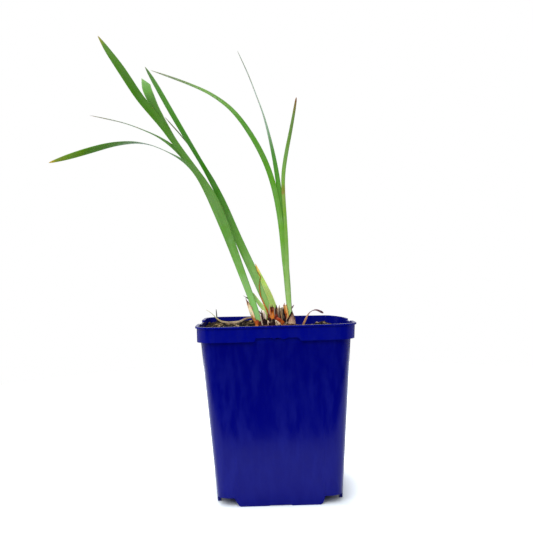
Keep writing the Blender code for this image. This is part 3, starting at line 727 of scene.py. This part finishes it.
def rough(x, y):  # height in mm that the loose mix adds
    high = 0.0
    for number, key in enumerate(("clod", "crumb", "grit")):
        wide, tall = soilSizes[key]
        high += tall * noise.noise(Vector((x / wide, y / wide, 7.3 * number)))
    return high - soilSizes["settled"] * min(1, max(0, (y - 18) / 14))


def hollow(x, y):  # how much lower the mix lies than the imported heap
    return min(1, max(0, (fromCrown(x, y) - 1) / 0.5)) * sum(
        deep * math.exp(-((x - middleX) / halfX) ** 4 - ((y - middleY) / halfY) ** 4)
        for middleX, middleY, halfX, halfY, deep in soilSizes["hollows"])


# Potting mix: nearly black peat, crumbs of brown bark, straw-coloured fibre.
def makeSoilMix():
    material, add, shader = startMaterial("potting_mix", {"Specular IOR Level": 0.15, "Roughness": 0.92})
    place = add("TexCoord").outputs["Object"]
    grains = add("TexVoronoi", {"Vector": place, "Scale": 1 / (1.9 * mm)})
    clods = add("TexNoise", {"Vector": place, "Scale": 1 / (7 * mm), "Detail": 6.0, "Roughness": 0.65})
    grainTone = add("ValToRGB", {"Fac": grains.outputs["Color"]}, {
        0: "#090706", 0.5: "#1a120e", 0.7: "#33251a", 0.86: "#74603c", 1: "#b39c68"})
    peat = add("ValToRGB", {"Fac": clods}, {0.35: "#0e0b0a", 0.6: "#241a14", 0.8: "#3b2c20"})
    height = add("Math", {0: clods, 1: grains.outputs["Distance"]}, operation="ADD")
    setInputs(shader, {
        "Base Color": add("Mix", {"Factor": 0.7, "A": peat, "B": grainTone}, data_type="RGBA"),
        "Normal": add("Bump", {"Strength": 0.7, "Distance": 0.6 * mm, "Height": height})})
    return material


soil = copyNode("soil")
with picked(soil, "FACE", lambda face: face.normal.z > 0.3 and face.center.z > 110 * mm):
    bpy.ops.mesh.subdivide(number_cuts=soilSizes["cuts"])
for vertex in soil.data.vertices:
    x, y, z = vertex.co / mm
    if z > soilSizes["looseFrom"] and max(abs(x), abs(y)) < soilSizes["inside"]:
        vertex.co.z += rough(x, y) * mm
    if z > soilSizes["heapFrom"]:
        vertex.co.z -= hollow(x, y) * mm
finishPiece(soil, "potting_mix", makeSoilMix(), "soil", "soil")
print("soil is filled:", len(soil.data.polygons), "faces")


# Bark, fibres and rootstock. The fibres run upwards where the grain is stretched. The colour goes by each bit's
# own tone, or by patches of a size in mm.
def makeDry(
        name, stops, grain, stretch=1, contrast=0.35, detail=4, roughness=0.85, relief=(0.6, 0.3), patch=None):
    material, add, shader = startMaterial(name, {"Specular IOR Level": 0.2, "Roughness": roughness})
    place = add("TexCoord").outputs["Object"]
    fibres = add("TexNoise", {
        "Vector": add("Mapping", {
            "Vector": place, "Scale": (1 / (grain * mm), 1 / (grain * mm), 1 / (grain * stretch * mm))}),
        "Scale": 1.0, "Detail": detail})
    if patch:
        tone = add("TexNoise", {"Vector": place, "Scale": 1 / (patch * mm), "Detail": 5.0})
    else:
        tone = add("Attribute", attribute_name="tone").outputs["Fac"]
    setInputs(shader, {
        "Base Color": add("HueSaturation", {
            "Color": add("ValToRGB", {"Fac": tone}, stops),
            "Value": add("MapRange", spread(fibres, 1 - contrast, 1 + contrast))}),
        "Normal": add("Bump", {"Strength": relief[0], "Distance": relief[1] * mm, "Height": fibres})})
    return material


def giveTones(piece, low, high):  # from foot to top
    heights = [vertex.co.z for vertex in piece.data.vertices]
    foot, top = min(heights), max(heights)
    layer = piece.data.attributes.new("tone", "FLOAT", "POINT")
    for item, z in zip(layer.data, heights):
        item.value = low + (high - low) * (z - foot) / (top - foot)


def copyOf(model, matrix, tone):
    copy = addCopy(model.name + "_bit", model.data)
    copy.data.transform(matrix)
    giveTones(copy, tone, tone)
    return copy


def joinBits(name, bits, models, material, slotName, smoothAngle):  # and the models they were copied from go
    for model in models:
        bpy.data.objects.remove(model, do_unlink=True)
    selectOnly(*bits)
    bpy.ops.object.join()
    finishPiece(bits[0], name, material, slotName, smoothAngle=smoothAngle)
    print(name, "lie in place:", len(bits[0].data.polygons), "faces")


soilTree = BVHTree.FromPolygons(
    [vertex.co for vertex in soil.data.vertices], [face.vertices for face in soil.data.polygons])


def looseSpot(reach=soilSizes["litterReach"]):  # a place on the soil, away from the crown
    while True:
        x, y = dice.uniform(-reach, reach), dice.uniform(-reach, reach)
        overX, overY = (max(0, abs(c) - soilSizes["cornerFrom"]) for c in (x, y))
        if fromCrown(x, y) > 1 and math.hypot(overX, overY) < soilSizes["cornerRound"]:
            return x, y


def settle(x, y, size, lift, tiltMost=0.5):  # stands a copy on the soil below x, y, turned at random
    place, normal, _, _ = soilTree.ray_cast(Vector((x, y, 200)) * mm, Vector((0, 0, -1)))
    upright = normal.to_track_quat("Z", "Y").to_matrix().to_4x4()
    spin = Matrix.Rotation(dice.uniform(0, math.tau), 4, "Z")
    tilt = Matrix.Rotation(dice.uniform(-tiltMost, tiltMost), 4, "X")
    where = Matrix.Translation(place + Vector((0, 0, lift * mm)))
    return where @ upright @ spin @ tilt @ Matrix.Diagonal((size, size, size, 1))


def makeChip(length, width, thick, ragged):
    chip = startPiece(bpy.ops.mesh.primitive_cube_add, size=1)
    with editing():
        bpy.ops.transform.resize(value=(length * mm, width * mm, thick * mm))
        bpy.ops.mesh.subdivide(number_cuts=1)
    for vertex in chip.data.vertices:
        vertex.co += Vector([dice.uniform(-1, 1) * ragged * side * mm for side in (length, width, thick * 1.6)])
    return chip


chips = [makeChip(6.5, 3.2, 1.1, 0.10), makeChip(4.2, 2.8, 1.5, 0.14), makeChip(8.5, 2.2, 1.0, 0.09)]
crumb = startPiece(bpy.ops.mesh.primitive_ico_sphere_add, subdivisions=1, radius=0.75 * mm)
for vertex in crumb.data.vertices:
    vertex.co *= dice.uniform(0.7, 1.25)
litter = []
for _ in range(soilSizes["bark"]):
    x, y = looseSpot()
    size = dice.uniform(0.3, 0.5) if y > 26 else dice.uniform(0.35, 0.85)  # finer at the back
    litter.append(copyOf(dice.choice(chips), settle(x, y, size, 0.1, 0.25), dice.random() ** 2.2))
for _ in range(soilSizes["crumbs"]):
    litter.append(copyOf(crumb, settle(*looseSpot(), dice.uniform(0.5, 1.3), 0.0), dice.random() ** 1.5))
# the chips that show over the rim: at the back right, and in front of the dead leaf at the left
for x, y, size, tone in soilSizes["seenChips"]:
    litter.append(copyOf(chips[1], settle(x, y, size, -0.35, 0.1), tone))
barkBits = makeDry("pine_bark_chips", {
    0: "#120d0b", 0.35: "#241913", 0.6: "#40301f", 0.78: "#6b5838", 0.9: "#87745c", 1: "#b29c80"}, 0.9)
joinBits("bark_chips", litter, [crumb, *chips], barkBits, "soil", 40)


# Strands: rootlets, hairs, dry margins

def ringOf(count, flat=1.0, ridges=0.0):  # a round or flattened outline in half widths
    ring = []
    for index in range(count):
        angle = math.tau * index / count
        reach = 1 + ridges * (-1) ** index
        ring.append((math.cos(angle) * reach, math.sin(angle) * reach * flat))
    return ring


def foldedAcross(count):  # u goes up one side of a closed ring and back down the other, without a seam
    return lambda column: 1 - abs(2 * column / count - 1)


def growStrand(rows, sides, flat, spans):
    return closeEnds(grow(ringOf(sides, flat), stationsThrough(rows, spans), foldedAcross(sides)))


rootletModels = [growStrand(rows, 4, 1.0, 2) for rows in (
    [(0, 0, 0, 0.35), (3, 1.2, 0.5, 0.35), (7, 0.2, 0.2, 0.3), (11, 2.2, 0.6, 0.15)],
    [(0, 0, 0, 0.3), (2, -1.5, 0.7, 0.3), (6, -1.8, 0.1, 0.25), (8, 0.6, 0.4, 0.15)])]
rootlets = []
for _ in range(soilSizes["rootlets"]):
    rootlet = dice.choice(rootletModels)
    rootlets.append(copyOf(rootlet, settle(*looseSpot(38), dice.uniform(0.5, 1.1), 0.25, 0.12), dice.random()))
strawBits = makeDry("dry_rootlets", {0: "#5a4630", 0.5: "#a08560", 1: "#d8c8a0"}, 0.5)
joinBits("rootlets", rootlets, rootletModels, strawBits, "dead_leaf", 180)


# Crown: the knobbly rootstock, with the papery scales of older leaves around it

crownSizes = {
    "from": (117, 2.3),  # mm; above this height it swells, in full from this much higher up
    "swell": 0.9,        # the knobs close up to the feet of the shoots
    "knob": (3.2, 0.8),  # how wide and how high the knobs stand
}
crown = copyNode("crown")
with editing():
    bpy.ops.mesh.tris_convert_to_quads()
    bpy.ops.mesh.subdivide(number_cuts=2)
foot, rise = crownSizes["from"]
wide, tall = crownSizes["knob"]
for vertex in crown.data.vertices:
    x, y, z = vertex.co / mm
    upward = min(1, max(0, (z - foot) / rise))
    lump = tall * noise.noise(Vector((x, y, z)) / wide)
    upward *= crownSizes["swell"] + lump
    vertex.co += (Vector((x, y, 0)).normalized() * lump + Vector((0, 0, upward))) * mm
soften(crown)
rhizomeSkin = makeDry(  # fox-brown, fibrous, darker in patches
    "rhizome_skin", {0.3: "#1a100c", 0.45: "#371f14", 0.6: "#5e3a20", 0.75: "#8a6540"},
    0.5, 10, 0.3, 3, 0.8, (0.8, 0.4), patch=4)
finishPiece(crown, "rhizome", rhizomeSkin, "rootstock", "crown")


# Husks and stumps: dry sheaths round the shoots, and the torn bases of leaves that were cut

def arcOf(count, start, stop, wave=0.04):  # part of a ring, for a sheath open on one side
    ring = []
    for index in range(count):
        angle = math.radians(start + (stop - start) * index / (count - 1))
        reach = 1 + wave * math.sin(index * 2.1)
        ring.append((math.cos(angle) * reach, math.sin(angle) * reach))
    return ring


# Each column of a grown piece is drawn back towards its foot, so the top edge is torn.
def tear(piece, count, shareOf):
    points = piece.data.vertices
    feet = [points[column].co.copy() for column in range(count)]
    for vertex in points:
        column = vertex.index % count
        vertex.co = feet[column] + (vertex.co - feet[column]) * shareOf(column)


def between(values, share):  # a value part of the way along a short list
    place = share * (len(values) - 1)
    low = min(int(place), len(values) - 2)
    return values[low] + (values[low + 1] - values[low]) * (place - low)


def crumple(piece, deep, wide=2.2):  # dry tissue is never even
    for vertex in piece.data.vertices:
        vertex.co += noise.noise_vector(vertex.co / (wide * mm)) * deep * mm


huskShape = {"columns": 22, "thick": 0.28, "spans": 4, "teeth": 0.16, "flare": 0.5, "uneven": 0.3, "girth": 3.2}


def growHusk(husk):
    count = huskShape["columns"]
    rows = smoothThrough(husk["rows"], huskShape["spans"])
    level = Matrix.Identity(3)
    stations = [(Vector(row[:3]) * mm, level, 2 * row[3] * mm) for row in rows]
    piece = grow(arcOf(count, *husk["arc"]), stations, lambda column: column / (count - 1), openSheet=True)
    teeth = [1 - huskShape["teeth"] * dice.random() * (1 + column % 2) / 2 for column in range(count)]
    tear(piece, count, lambda column: between(husk["tops"], column / (count - 1)) * teeth[column])
    foot, head = rows[0][2] * mm, rows[-1][2] * mm
    for vertex in piece.data.vertices:  # the torn edge curls away from the shoot
        rise = max(0, (vertex.co.z - foot) / (head - foot))
        axis = Vector((between([r[0] for r in rows], rise), between([r[1] for r in rows], rise), 0)) * mm
        away = (Vector((vertex.co.x, vertex.co.y, 0)) - axis).normalized()
        vertex.co += away * huskShape["flare"] * rise ** 3 * mm
    crumple(piece, huskShape["uneven"])
    applyModifier(piece, "SOLIDIFY", thickness=huskShape["thick"] * mm, offset=0)
    soften(piece)
    with editing("SELECT"):
        bpy.ops.mesh.normals_make_consistent(inside=False)
    return piece, huskShape["girth"] * rows[0][3], rows[-1][2] - rows[0][2]


# The fibres are drawn about twice as coarse as real ones, or they would not show.
dryCommon = {
    "vein": 0.85, "streak": 9, "contrast": 0.4, "rough": 0.7, "gloss": 0.12, "relief": 0.9, "patch": 2.4,
    "wander": 0.12, "glow": 0.08, "margin": "#5a3a2e", "marginWide": 0.07, "stripe": "#3a241d",
    "stripeShare": 0.55}

husks = {
    "husk_left": {
        "slot": "dead_leaf", "arc": (112, 246), "tops": (0.45, 0.8, 1, 0.93, 0.62),
        "rows": [
            (-10.6, -4.9, 120.5, 3.7), (-13.6, -4.9, 128, 4.3), (-15.6, -4.9, 134, 4),
            (-17.7, -4.9, 141.5, 3.4)],
        "skin": "papery_sheath_cream", "glow": 0.2, "stripe": "#c88a50", "stripeShare": 0.35, "stops": {
            0: "#93380f", 0.16: "#b8602a", 0.32: "#d89a58", 0.5: "#f2e2ba", 0.75: "#f0dcb0", 0.9: "#a87a5c",
            1: "#4c2f38"},
    },
    "husk_mid": {
        "slot": "sheath", "arc": (-66, 58), "tops": (0.5, 0.85, 1, 0.8, 0.55),
        "rows": [
            (-10.2, -4.9, 120.5, 3.5), (-12.2, -4.9, 125.5, 3.7), (-13.9, -4.9, 131.3, 3.5)],
        "skin": "papery_sheath_plum", "stops": {
            0: "#3a2522", 0.3: "#5a3a34", 0.55: "#a08478", 0.75: "#c6b0a2", 0.92: "#6e5048", 1: "#3d2a2c"},
    },
    "husk_right": {
        "slot": "sheath", "arc": (-145, 85), "tops": (0.3, 0.5, 1, 0.58, 0.46, 0.42, 0.4),
        "rows": [
            (11, 2.4, 119.5, 3.7), (11.2, 2.5, 124.5, 3.4), (11.4, 2.6, 130.5, 2.7)],
        "skin": "papery_sheath_tan", "margin": "#8a5a3a", "stripe": "#5e443a", "stripeShare": 0.75,
        "stops": {
            0: "#d6b088", 0.25: "#c9a68c", 0.5: "#b8927e", 0.72: "#9a7260", 0.86: "#5a4026", 1: "#30210f"},
    },
}
for pieceName, husk in husks.items():
    dress(pieceName, growHusk(husk), {**dryCommon, **husk}, husk["slot"], pieceName.replace("husk", "sheath"))

stumpShape = {
    "points": 18, "ridges": 0.1, "spans": 3, "tear": 0.3, "hollow": 1.6, "mouth": 0.62, "uneven": 0.35,
    "girths": ((0, 0.9), (0.3, 1.06), (0.6, 1), (0.85, 0.94), (1, 1.04)),  # shares of the height and width
}


def growStump(stump):
    count = stumpShape["points"]
    ring = ringOf(count, stump["thick"] / stump["width"], stumpShape["ridges"])
    foot, head = Vector(stump["foot"]), Vector(stump["head"])
    rows = []
    for share, girth in stumpShape["girths"]:
        narrowed = 1 - stump.get("taper", 0) * share
        rows.append((*foot.lerp(head, share), stump["width"] * girth * narrowed))
    piece = grow(ring, stationsThrough(rows, stumpShape["spans"]), foldedAcross(count))
    tops = [1 - stump.get("tear", stumpShape["tear"]) * dice.random() for _ in range(count)]
    tear(piece, count, lambda column: tops[column])
    crumple(piece, stumpShape["uneven"])
    with editing():  # the torn top is hollow
        bpy.ops.mesh.spin(steps=1, angle=0, center=head * mm, axis=(0, 0, 1))
        bpy.ops.transform.resize(value=[stumpShape["mouth"]] * 3, center_override=head * mm)
        bpy.ops.transform.translate(value=(foot - head).normalized() * stumpShape["hollow"] * mm)
    closeEnds(piece)
    soften(piece)
    return piece, stump["width"], (head - foot).length


stumps = {
    "stump_orange": {
        "foot": (-2.2, -5.4, 120.5), "head": (-2.1, -5.2, 134.6), "width": 5, "thick": 2.2, "taper": 0.5,
        "skin": "torn_base_orange", "stripe": "#8a3c14", "stripeShare": 0.42, "margin": "#8a3420",
        "stops": {
            0: "#5a2c1c", 0.2: "#9c4a1a", 0.36: "#c8783c", 0.55: "#cc7c3c", 0.74: "#c66a2e",
            0.87: "#b05822", 1: "#6a3216"},
    },
    "stump_tan": {
        "foot": (4.4, -2.1, 119.5), "head": (3.5, -2.1, 133.4), "width": 4.6, "thick": 2,
        "skin": "torn_base_grey", "stripe": "#1c1210", "stripeShare": 0.8, "stops": {
            0: "#1f1410", 0.3: "#35261c", 0.55: "#5f5340", 0.8: "#8c7f6c", 1: "#b5aa98"},
    },
    "stump_strip": {
        "foot": (9.6, 0, 120.5), "head": (7.2, 0, 135.2), "width": 2.7, "thick": 0.9, "tear": 0.16,
        "skin": "torn_strip_amber", "glow": 0.15, "stripe": "#e8bf88", "stripeShare": 0.6,
        "margin": "#c06a1c", "stops": {
            0: "#a8560f", 0.22: "#f4c468", 0.34: "#f0b058", 0.6: "#e8a04e", 0.8: "#e6ae6c", 0.92: "#c8884a",
            1: "#7a5430"},
    },
    "stump_slant": {
        "foot": (6, -6.6, 120.4), "head": (-0.4, -7, 126.1), "width": 3.2, "thick": 1.1, "tear": 0.3,
        "skin": "torn_base_russet", "stripe": "#5c1a0c", "stripeShare": 0.75, "margin": "#56120a",
        "marginWide": 0.2, "stops": {
            0: "#8a3a12", 0.3: "#a2521e", 0.55: "#99401e", 0.85: "#ad5038", 1: "#8f3a28"},
    },
    "stump_wedge": {
        "foot": (2.6, -9, 118.9), "head": (0.2, -9.2, 124), "width": 5.4, "thick": 1.3, "tear": 0.12,
        "taper": 0.85,
        "skin": "torn_base_cream", "stripe": "#8a6a4c", "stripeShare": 0.4, "stops": {
            0: "#b09478", 0.5: "#cbb294", 1: "#e2d2ba"},
    },
}
for pieceName, stump in stumps.items():
    slotName = "sheath" if pieceName in ("stump_tan", "stump_wedge") else "rust_stub"
    dress(pieceName, growStump(stump), {**dryCommon, **stump}, slotName, pieceName.replace("stump", "stub"))
print("husks and stumps stand")


# Between the stumps: strips of older leaves, torn off short, and loose fibres

tornSizes = {
    "sides": 8,
    "flat": 0.38,
    "sink": 2.0,               # mm that each one goes down into the rootstock
    "uneven": (0.25, 1.6),
    "fibreFoot": 118.6,
    "among": 46,               # fibres among the stumps, within these x and y
    "amongX": (-5.5, 9),
    "amongY": (-4.2, 4.5),
    "amongTones": (0.02, 0.05, 0.1, 0.15, 0.7, 0.74, 0.82),
    "around": 90,              # shorter ones round the rest of the rootstock, and its half sizes
    "aroundReach": (15, 10.2),
    "aroundTones": (0.05, 0.12, 0.18, 0.3, 0.66, 0.74, 0.84),
}

# depth, tones at foot and top, then x, z and width from the foot up
tornStrips = [
    (-8, 0.93, 0.88, [(-9.35, 120.1, 0.85), (-10, 123.3, 0.8), (-10.7, 126.9, 0.65), (-11.5, 130.3, 0.3)]),
    (-7.2, 0.02, 0.1, [(-7, 120.3, 3.6), (-7.1, 122.2, 3.2), (-7.4, 123.8, 2.2), (-7.8, 125, 0.8)]),
    (-6.9, 0.9, 0.66, [(-8, 123, 0.9), (-8.7, 126, 1), (-9.4, 129, 0.9), (-10.2, 131.4, 0.3)]),
    (-8.4, 0.1, 0.14, [(-8.7, 123.5, 0.9), (-9.2, 125.6, 0.9), (-9.5, 127.4, 0.9), (-10.5, 129.1, 0.8),
        (-11.6, 130.8, 0.3)]),
    (-6, 0.9, 1, [(-7, 124, 0.9), (-7.2, 125.8, 1.8), (-7.8, 128, 2.1), (-8.3, 129.8, 1.5),
        (-8.7, 131, 0.5)]),
    (-6.2, 0.9, 0.84, [(-4.3, 129.6, 0.6), (-4.1, 132, 0.9), (-3.8, 134, 0.6), (-3.6, 135.6, 0.3)]),
    (-6.2, 0.22, 0.18, [(-4.5, 125.2, 0.5), (-4.5, 127.5, 0.7), (-4.5, 130.5, 0.4)]),
    (-6.5, 0.3, 0.1, [(-2.1, 131.6, 0.9), (-2, 133.2, 1.1), (-1.9, 134.8, 0.5)]),
    (-6.6, 0.62, 0.7, [(-2, 133.2, 0.4), (-1.9, 134, 0.7), (-1.8, 134.8, 0.4)]),
    (-6.6, 0.3, 0.16, [(-2.7, 129.5, 0.3), (-2.6, 131, 0.5), (-2.5, 133.4, 0.3)]),
    (-6.6, 0.79, 0.8, [(-0.1, 126.6, 0.4), (-0.2, 128.6, 0.7), (-0.3, 131.5, 0.6), (-0.5, 133, 0.3)]),
    (-5.2, 0.22, 0.12, [(1.1, 121, 2.2), (0.9, 126.5, 2), (0.9, 130.5, 1.5), (1, 133.2, 1),
        (1.3, 134.4, 0.5)]),
    (-5.6, 0.7, 0.66, [(1.5, 128.5, 0.4), (1.6, 130.5, 0.6), (1.6, 132.6, 0.3)]),
    (-4.6, 0.72, 0.82, [(2.9, 125, 1.2), (2.5, 128, 1.3), (1.7, 131.6, 1.1), (1.3, 133.5, 0.3)]),
    (-4.9, 0.86, 0.94, [(2.3, 131, 0.5), (2.7, 132.4, 0.7), (3.3, 133.8, 0.3)]),
    (-5, 0.2, 0.14, [(3.9, 122.5, 0.9), (3.7, 126.5, 0.9), (3.5, 130.4, 0.4)]),
    (-4.8, 0.64, 0.68, [(4.5, 122.5, 0.6), (4.4, 126.5, 0.7), (4.4, 131.4, 0.3)]),
    (-4, 0.7, 0.76, [(5, 120.5, 1.7), (4.9, 124.3, 1.7), (4.9, 129, 1.6), (4.9, 132.5, 0.9)]),
    (-1.4, 0, 0.02, [(6.3, 120.8, 2.2), (6.2, 125.4, 1.9), (6, 130.2, 1.4), (5.9, 131.8, 0.5)]),
    (-1, 0.8, 0.84, [(3.4, 130.6, 1.2), (5.2, 131.7, 1.6), (6.9, 132.2, 1)]),
    (-3.4, 0.7, 0.84, [(2.6, 127.8, 1.6), (3.1, 131, 1.4), (3.6, 134.6, 0.4)]),
    (-0.9, 0.2, 0.6, [(8.7, 121, 1.2), (8.1, 125, 1.3), (7.2, 130, 1.2), (6.6, 133.8, 0.4)]),
    (0.3, 0.55, 0.36, [(7.2, 131, 0.9), (7.1, 133.8, 0.8), (6.85, 135.8, 0.3)]),
    (-1, 0.18, 0.08, [(7.6, 120.3, 2.6), (7.4, 122.5, 2.3), (7.2, 124.5, 1.5), (7, 126.4, 0.5)]),
    (-1.6, 0.1, 0.05, [(8.9, 122.6, 0.9), (10.4, 125.4, 1), (12, 128.4, 0.8), (12.8, 130, 0.25)]),
    (-6.9, 0.22, 0.28, [(0.2, 125.6, 1.6), (1.2, 126.9, 1.5), (1.9, 127.8, 0.4)]),
    (-7.4, 0, 0.02, [(-1.4, 121.4, 2.3), (-1.4, 123.1, 2.4), (-1.5, 124.7, 0.8)]),
    (-8.1, 0.17, 0.04, [(-2.3, 119.9, 3.4), (-2.2, 121.9, 3), (-2.3, 123.9, 1.2)]),
    (-8.5, 0.78, 0.74, [(-2.6, 119.9, 0.8), (-2.5, 122.6, 0.7), (-2.4, 124, 0.3)]),
    (-8.4, 0.93, 0.9, [(-4.5, 120, 1.8), (-4.9, 121.8, 1.5), (-5.6, 123.9, 0.6)]),
    (-7.2, 0.06, 0.12, [(-4, 122.3, 2.6), (-4.1, 124.4, 2.4), (-4.2, 125.9, 0.7)]),
    (-8.2, 0.6, 0.28, [(-13.1, 120.6, 2.7), (-13, 121.6, 3.1), (-12.7, 123.2, 2.2), (-12.5, 124.2, 0.7)]),
    (-9.2, 0.24, 0.35, [(-12.2, 122, 0.7), (-12, 123.3, 0.8), (-11.9, 124.1, 0.4)]),
    (-8, 0.24, 0.16, [(-10.8, 119.9, 2), (-10.8, 121.6, 2.2), (-11, 123.6, 0.7)]),
]
rags = []
for depth, footTone, topTone, places in tornStrips:
    x, z, width = places[0]
    rows = [(x, depth, z, width) for x, z, width in [(x, z - tornSizes["sink"], width), *places]]
    rag = growStrand(rows, tornSizes["sides"], tornSizes["flat"], 3)
    crumple(rag, *tornSizes["uneven"])
    giveTones(rag, footTone, topTone)
    rags.append(rag)

fibreModels = [
    growStrand([(0, 0, 0, 1), (0.2, 0, 3, 1.1), (-0.1, 0.3, 6, 0.8), (0.5, 0.9, 9, 0.2)], 6, 0.35, 2),
    growStrand(
        [(0, 0, 0, 1.3), (-0.2, 0, 3, 1.2, 20), (0.1, 0.2, 7, 0.7, 20), (-0.6, 0.5, 10, 0.15)], 6, 0.3, 2),
    growStrand([(0, 0, 0, 0.7), (0.3, 0.2, 4, 0.6), (0, 0.6, 8, 0.4), (1.1, 1.2, 11, 0.12)], 5, 0.6, 2),
]


def standFibre(x, y, high, lean, tone):  # leans outwards from the middle of the rootstock
    foot = Matrix.Translation(Vector((x, y, tornSizes["fibreFoot"])) * mm)
    outward = Matrix.Rotation(math.atan2(y, x), 4, "Z") @ Matrix.Rotation(lean, 4, "Y")
    spin = Matrix.Rotation(dice.uniform(0, math.tau), 4, "Z")
    return copyOf(dice.choice(fibreModels), foot @ outward @ spin @ Matrix.Diagonal((1, 1, high / 10, 1)), tone)


for _ in range(tornSizes["among"]):
    x, y = dice.uniform(*tornSizes["amongX"]), dice.uniform(*tornSizes["amongY"])
    high = dice.uniform(5, 13.5 - abs(x - 2) * 0.5)
    rags.append(standFibre(x, y, high, dice.uniform(-0.12, 0.12), dice.choice(tornSizes["amongTones"])))
for _ in range(tornSizes["around"]):
    angle, reach = dice.uniform(0, math.tau), dice.uniform(0.72, 0.98)
    high = dice.uniform(3, 6) if math.cos(angle) < 0.6 else dice.uniform(1.5, 2.6)  # short at the right
    halfX, halfY = tornSizes["aroundReach"]
    x, y = 0.5 + halfX * reach * math.cos(angle), halfY * reach * math.sin(angle)
    rags.append(standFibre(x, y, high, dice.uniform(0.1, 0.7), dice.choice(tornSizes["aroundTones"])))
# From black plum over russet and amber to grey and cream: the colours that torn leaf bases dry to.
tornLeafBase = makeDry("torn_leaf_base", {
    0: "#120a0b", 0.12: "#2a1012", 0.25: "#5a1b12", 0.35: "#8f3a17", 0.45: "#b5591f", 0.55: "#cf8433",
    0.63: "#a67c4c", 0.72: "#6f6048", 0.8: "#8c7b6c", 0.9: "#c9b298", 1: "#e3d3c8"}, 0.8, 9, 0.45)
joinBits("torn_fibres", rags, fibreModels, tornLeafBase, "sheath", 60)


# Thin dry pieces: dead leaves, twig, dry edge and tips

def growDry(dry):
    piece = growStrand(dry["rows"], dry.get("sides", 10), dry["flat"], 4)
    soften(piece)
    return piece, max(row[3] for row in dry["rows"]), lengthOf(dry["rows"])


dryPieces = {
    "dead_blade_left": {
        "stands": ("dead_leaf_left",), "flat": 0.22,
        "rows": [
            (-8, 6.5, 120.5, 1.6), (-12, 5.8, 124, 1.5), (-16.5, 5.2, 125.2, 1.2, 10),
            (-21.3, 6, 124.6, 1.4, 15), (-25.8, 7.5, 122.5, 1.8, 20), (-29.7, 9, 121.7, 2.1, 25),
            (-34.7, 11, 121.6, 1.9, 30), (-39.6, 13, 122.3, 1.7, 30), (-43, 14.2, 124.3, 1.1, 20),
            (-47.9, 16, 129, 0.45), (-52.4, 17, 131.8, 0.22)],
        "skin": "dead_leaf_straw", "stops": {
            0: "#8a6b4c", 0.2: "#b59a78", 0.5: "#d9c6a6", 0.7: "#c9b089", 0.85: "#a9a878", 1: "#c5cbb5"},
    },
    "dead_blade_right": {
        "stands": ("dead_curl_right",), "flat": 0.24,
        "rows": [
            (19.6, 3, 117, 1.6), (22.2, 3, 122.5, 1.6), (24.6, 4.4, 126.6, 1.1, 30),
            (27.1, 5.4, 128.7, 0.8, 60), (30.5, 7, 129.4, 1.6, 50), (34.6, 9, 127.7, 1.9, 20),
            (36.3, 10, 126.7, 0.9, 20)],
        "skin": "dead_leaf_plum", "stops": {
            0: "#a06c44", 0.3: "#b08660", 0.45: "#7e5248", 0.6: "#5a3440", 0.8: "#6a4650", 0.92: "#8a7078",
            1: "#3a2430"},
    },
    "dry_stalk": {
        "stands": ("dry_twig_left",), "flat": 0.8, "sides": 7,
        "rows": [
            (-43.6, 20, 122.2, 0.9), (-43.9, 19.2, 126.6, 1), (-44.2, 18.6, 132.3, 0.45)],
        "skin": "dry_stalk_skin", "stops": {
            0: "#5a4c3c", 0.5: "#39443a", 1: "#26302c"},
    },
    "dry_margin_middle": {
        "flat": 0.3,
        "rows": [
            (-13.4, -1.2, 165, 0.3), (-12.5, -1.2, 161.2, 0.6), (-11.2, -1, 157.6, 0.6),
            (-9.9, -0.9, 155.2, 0.7), (-10.4, -0.7, 152.4, 0.6), (-10.9, -0.4, 149.4, 0.6),
            (-10.7, -0.2, 146, 0.7), (-10.1, -0.2, 141, 0.9), (-8.7, -0.6, 137.4, 1.1),
            (-7.4, -1.6, 134.1, 1.2), (-5.8, -3.4, 130.9, 1.3), (-4.7, -5, 127.6, 1.2),
            (-4.5, -5.6, 121.5, 0.9)],
        "skin": "dry_leaf_margin", "stops": {
            0: "#d8a04c", 0.12: "#c8822e", 0.25: "#8a6a2e", 0.45: "#b0702a", 0.7: "#b5702a",
            0.85: "#8a3a16", 1: "#4a160e"},
    },
    "husk_left_tip": {
        "flat": 0.35,
        "rows": [
            (-18, -6.2, 138.6, 0.9), (-19.2, -6, 139.9, 1.3), (-20.4, -5.4, 140.3, 1.2, 40),
            (-21.5, -5.2, 141.2, 0.9, 90), (-22.9, -5, 142, 0.3, 90)],
        "skin": "twisted_tip_plum", "stops": {
            0: "#a87a5c", 0.25: "#5c3a40", 0.6: "#3a2430", 1: "#4c4048"},
    },
    "husk_right_tip": {
        "flat": 0.35,
        "rows": [
            (12.3, -0.4, 127.8, 0.3), (12.5, 0.2, 131.2, 0.3), (12.9, 0.6, 132.2, 1.2), (13.4, 1, 133, 0.9),
            (14.3, 1.4, 133.9, 0.25)],
        "skin": "small_tip_plum", "stops": {
            0: "#7a5058", 0.5: "#5c3a48", 1: "#8a707c"},
    },
}
for pieceName, dry in dryPieces.items():
    dress(pieceName, growDry(dry), {**dryCommon, **dry}, "dead_leaf", *dry.get("stands", ()))
print("dry pieces lie in place")
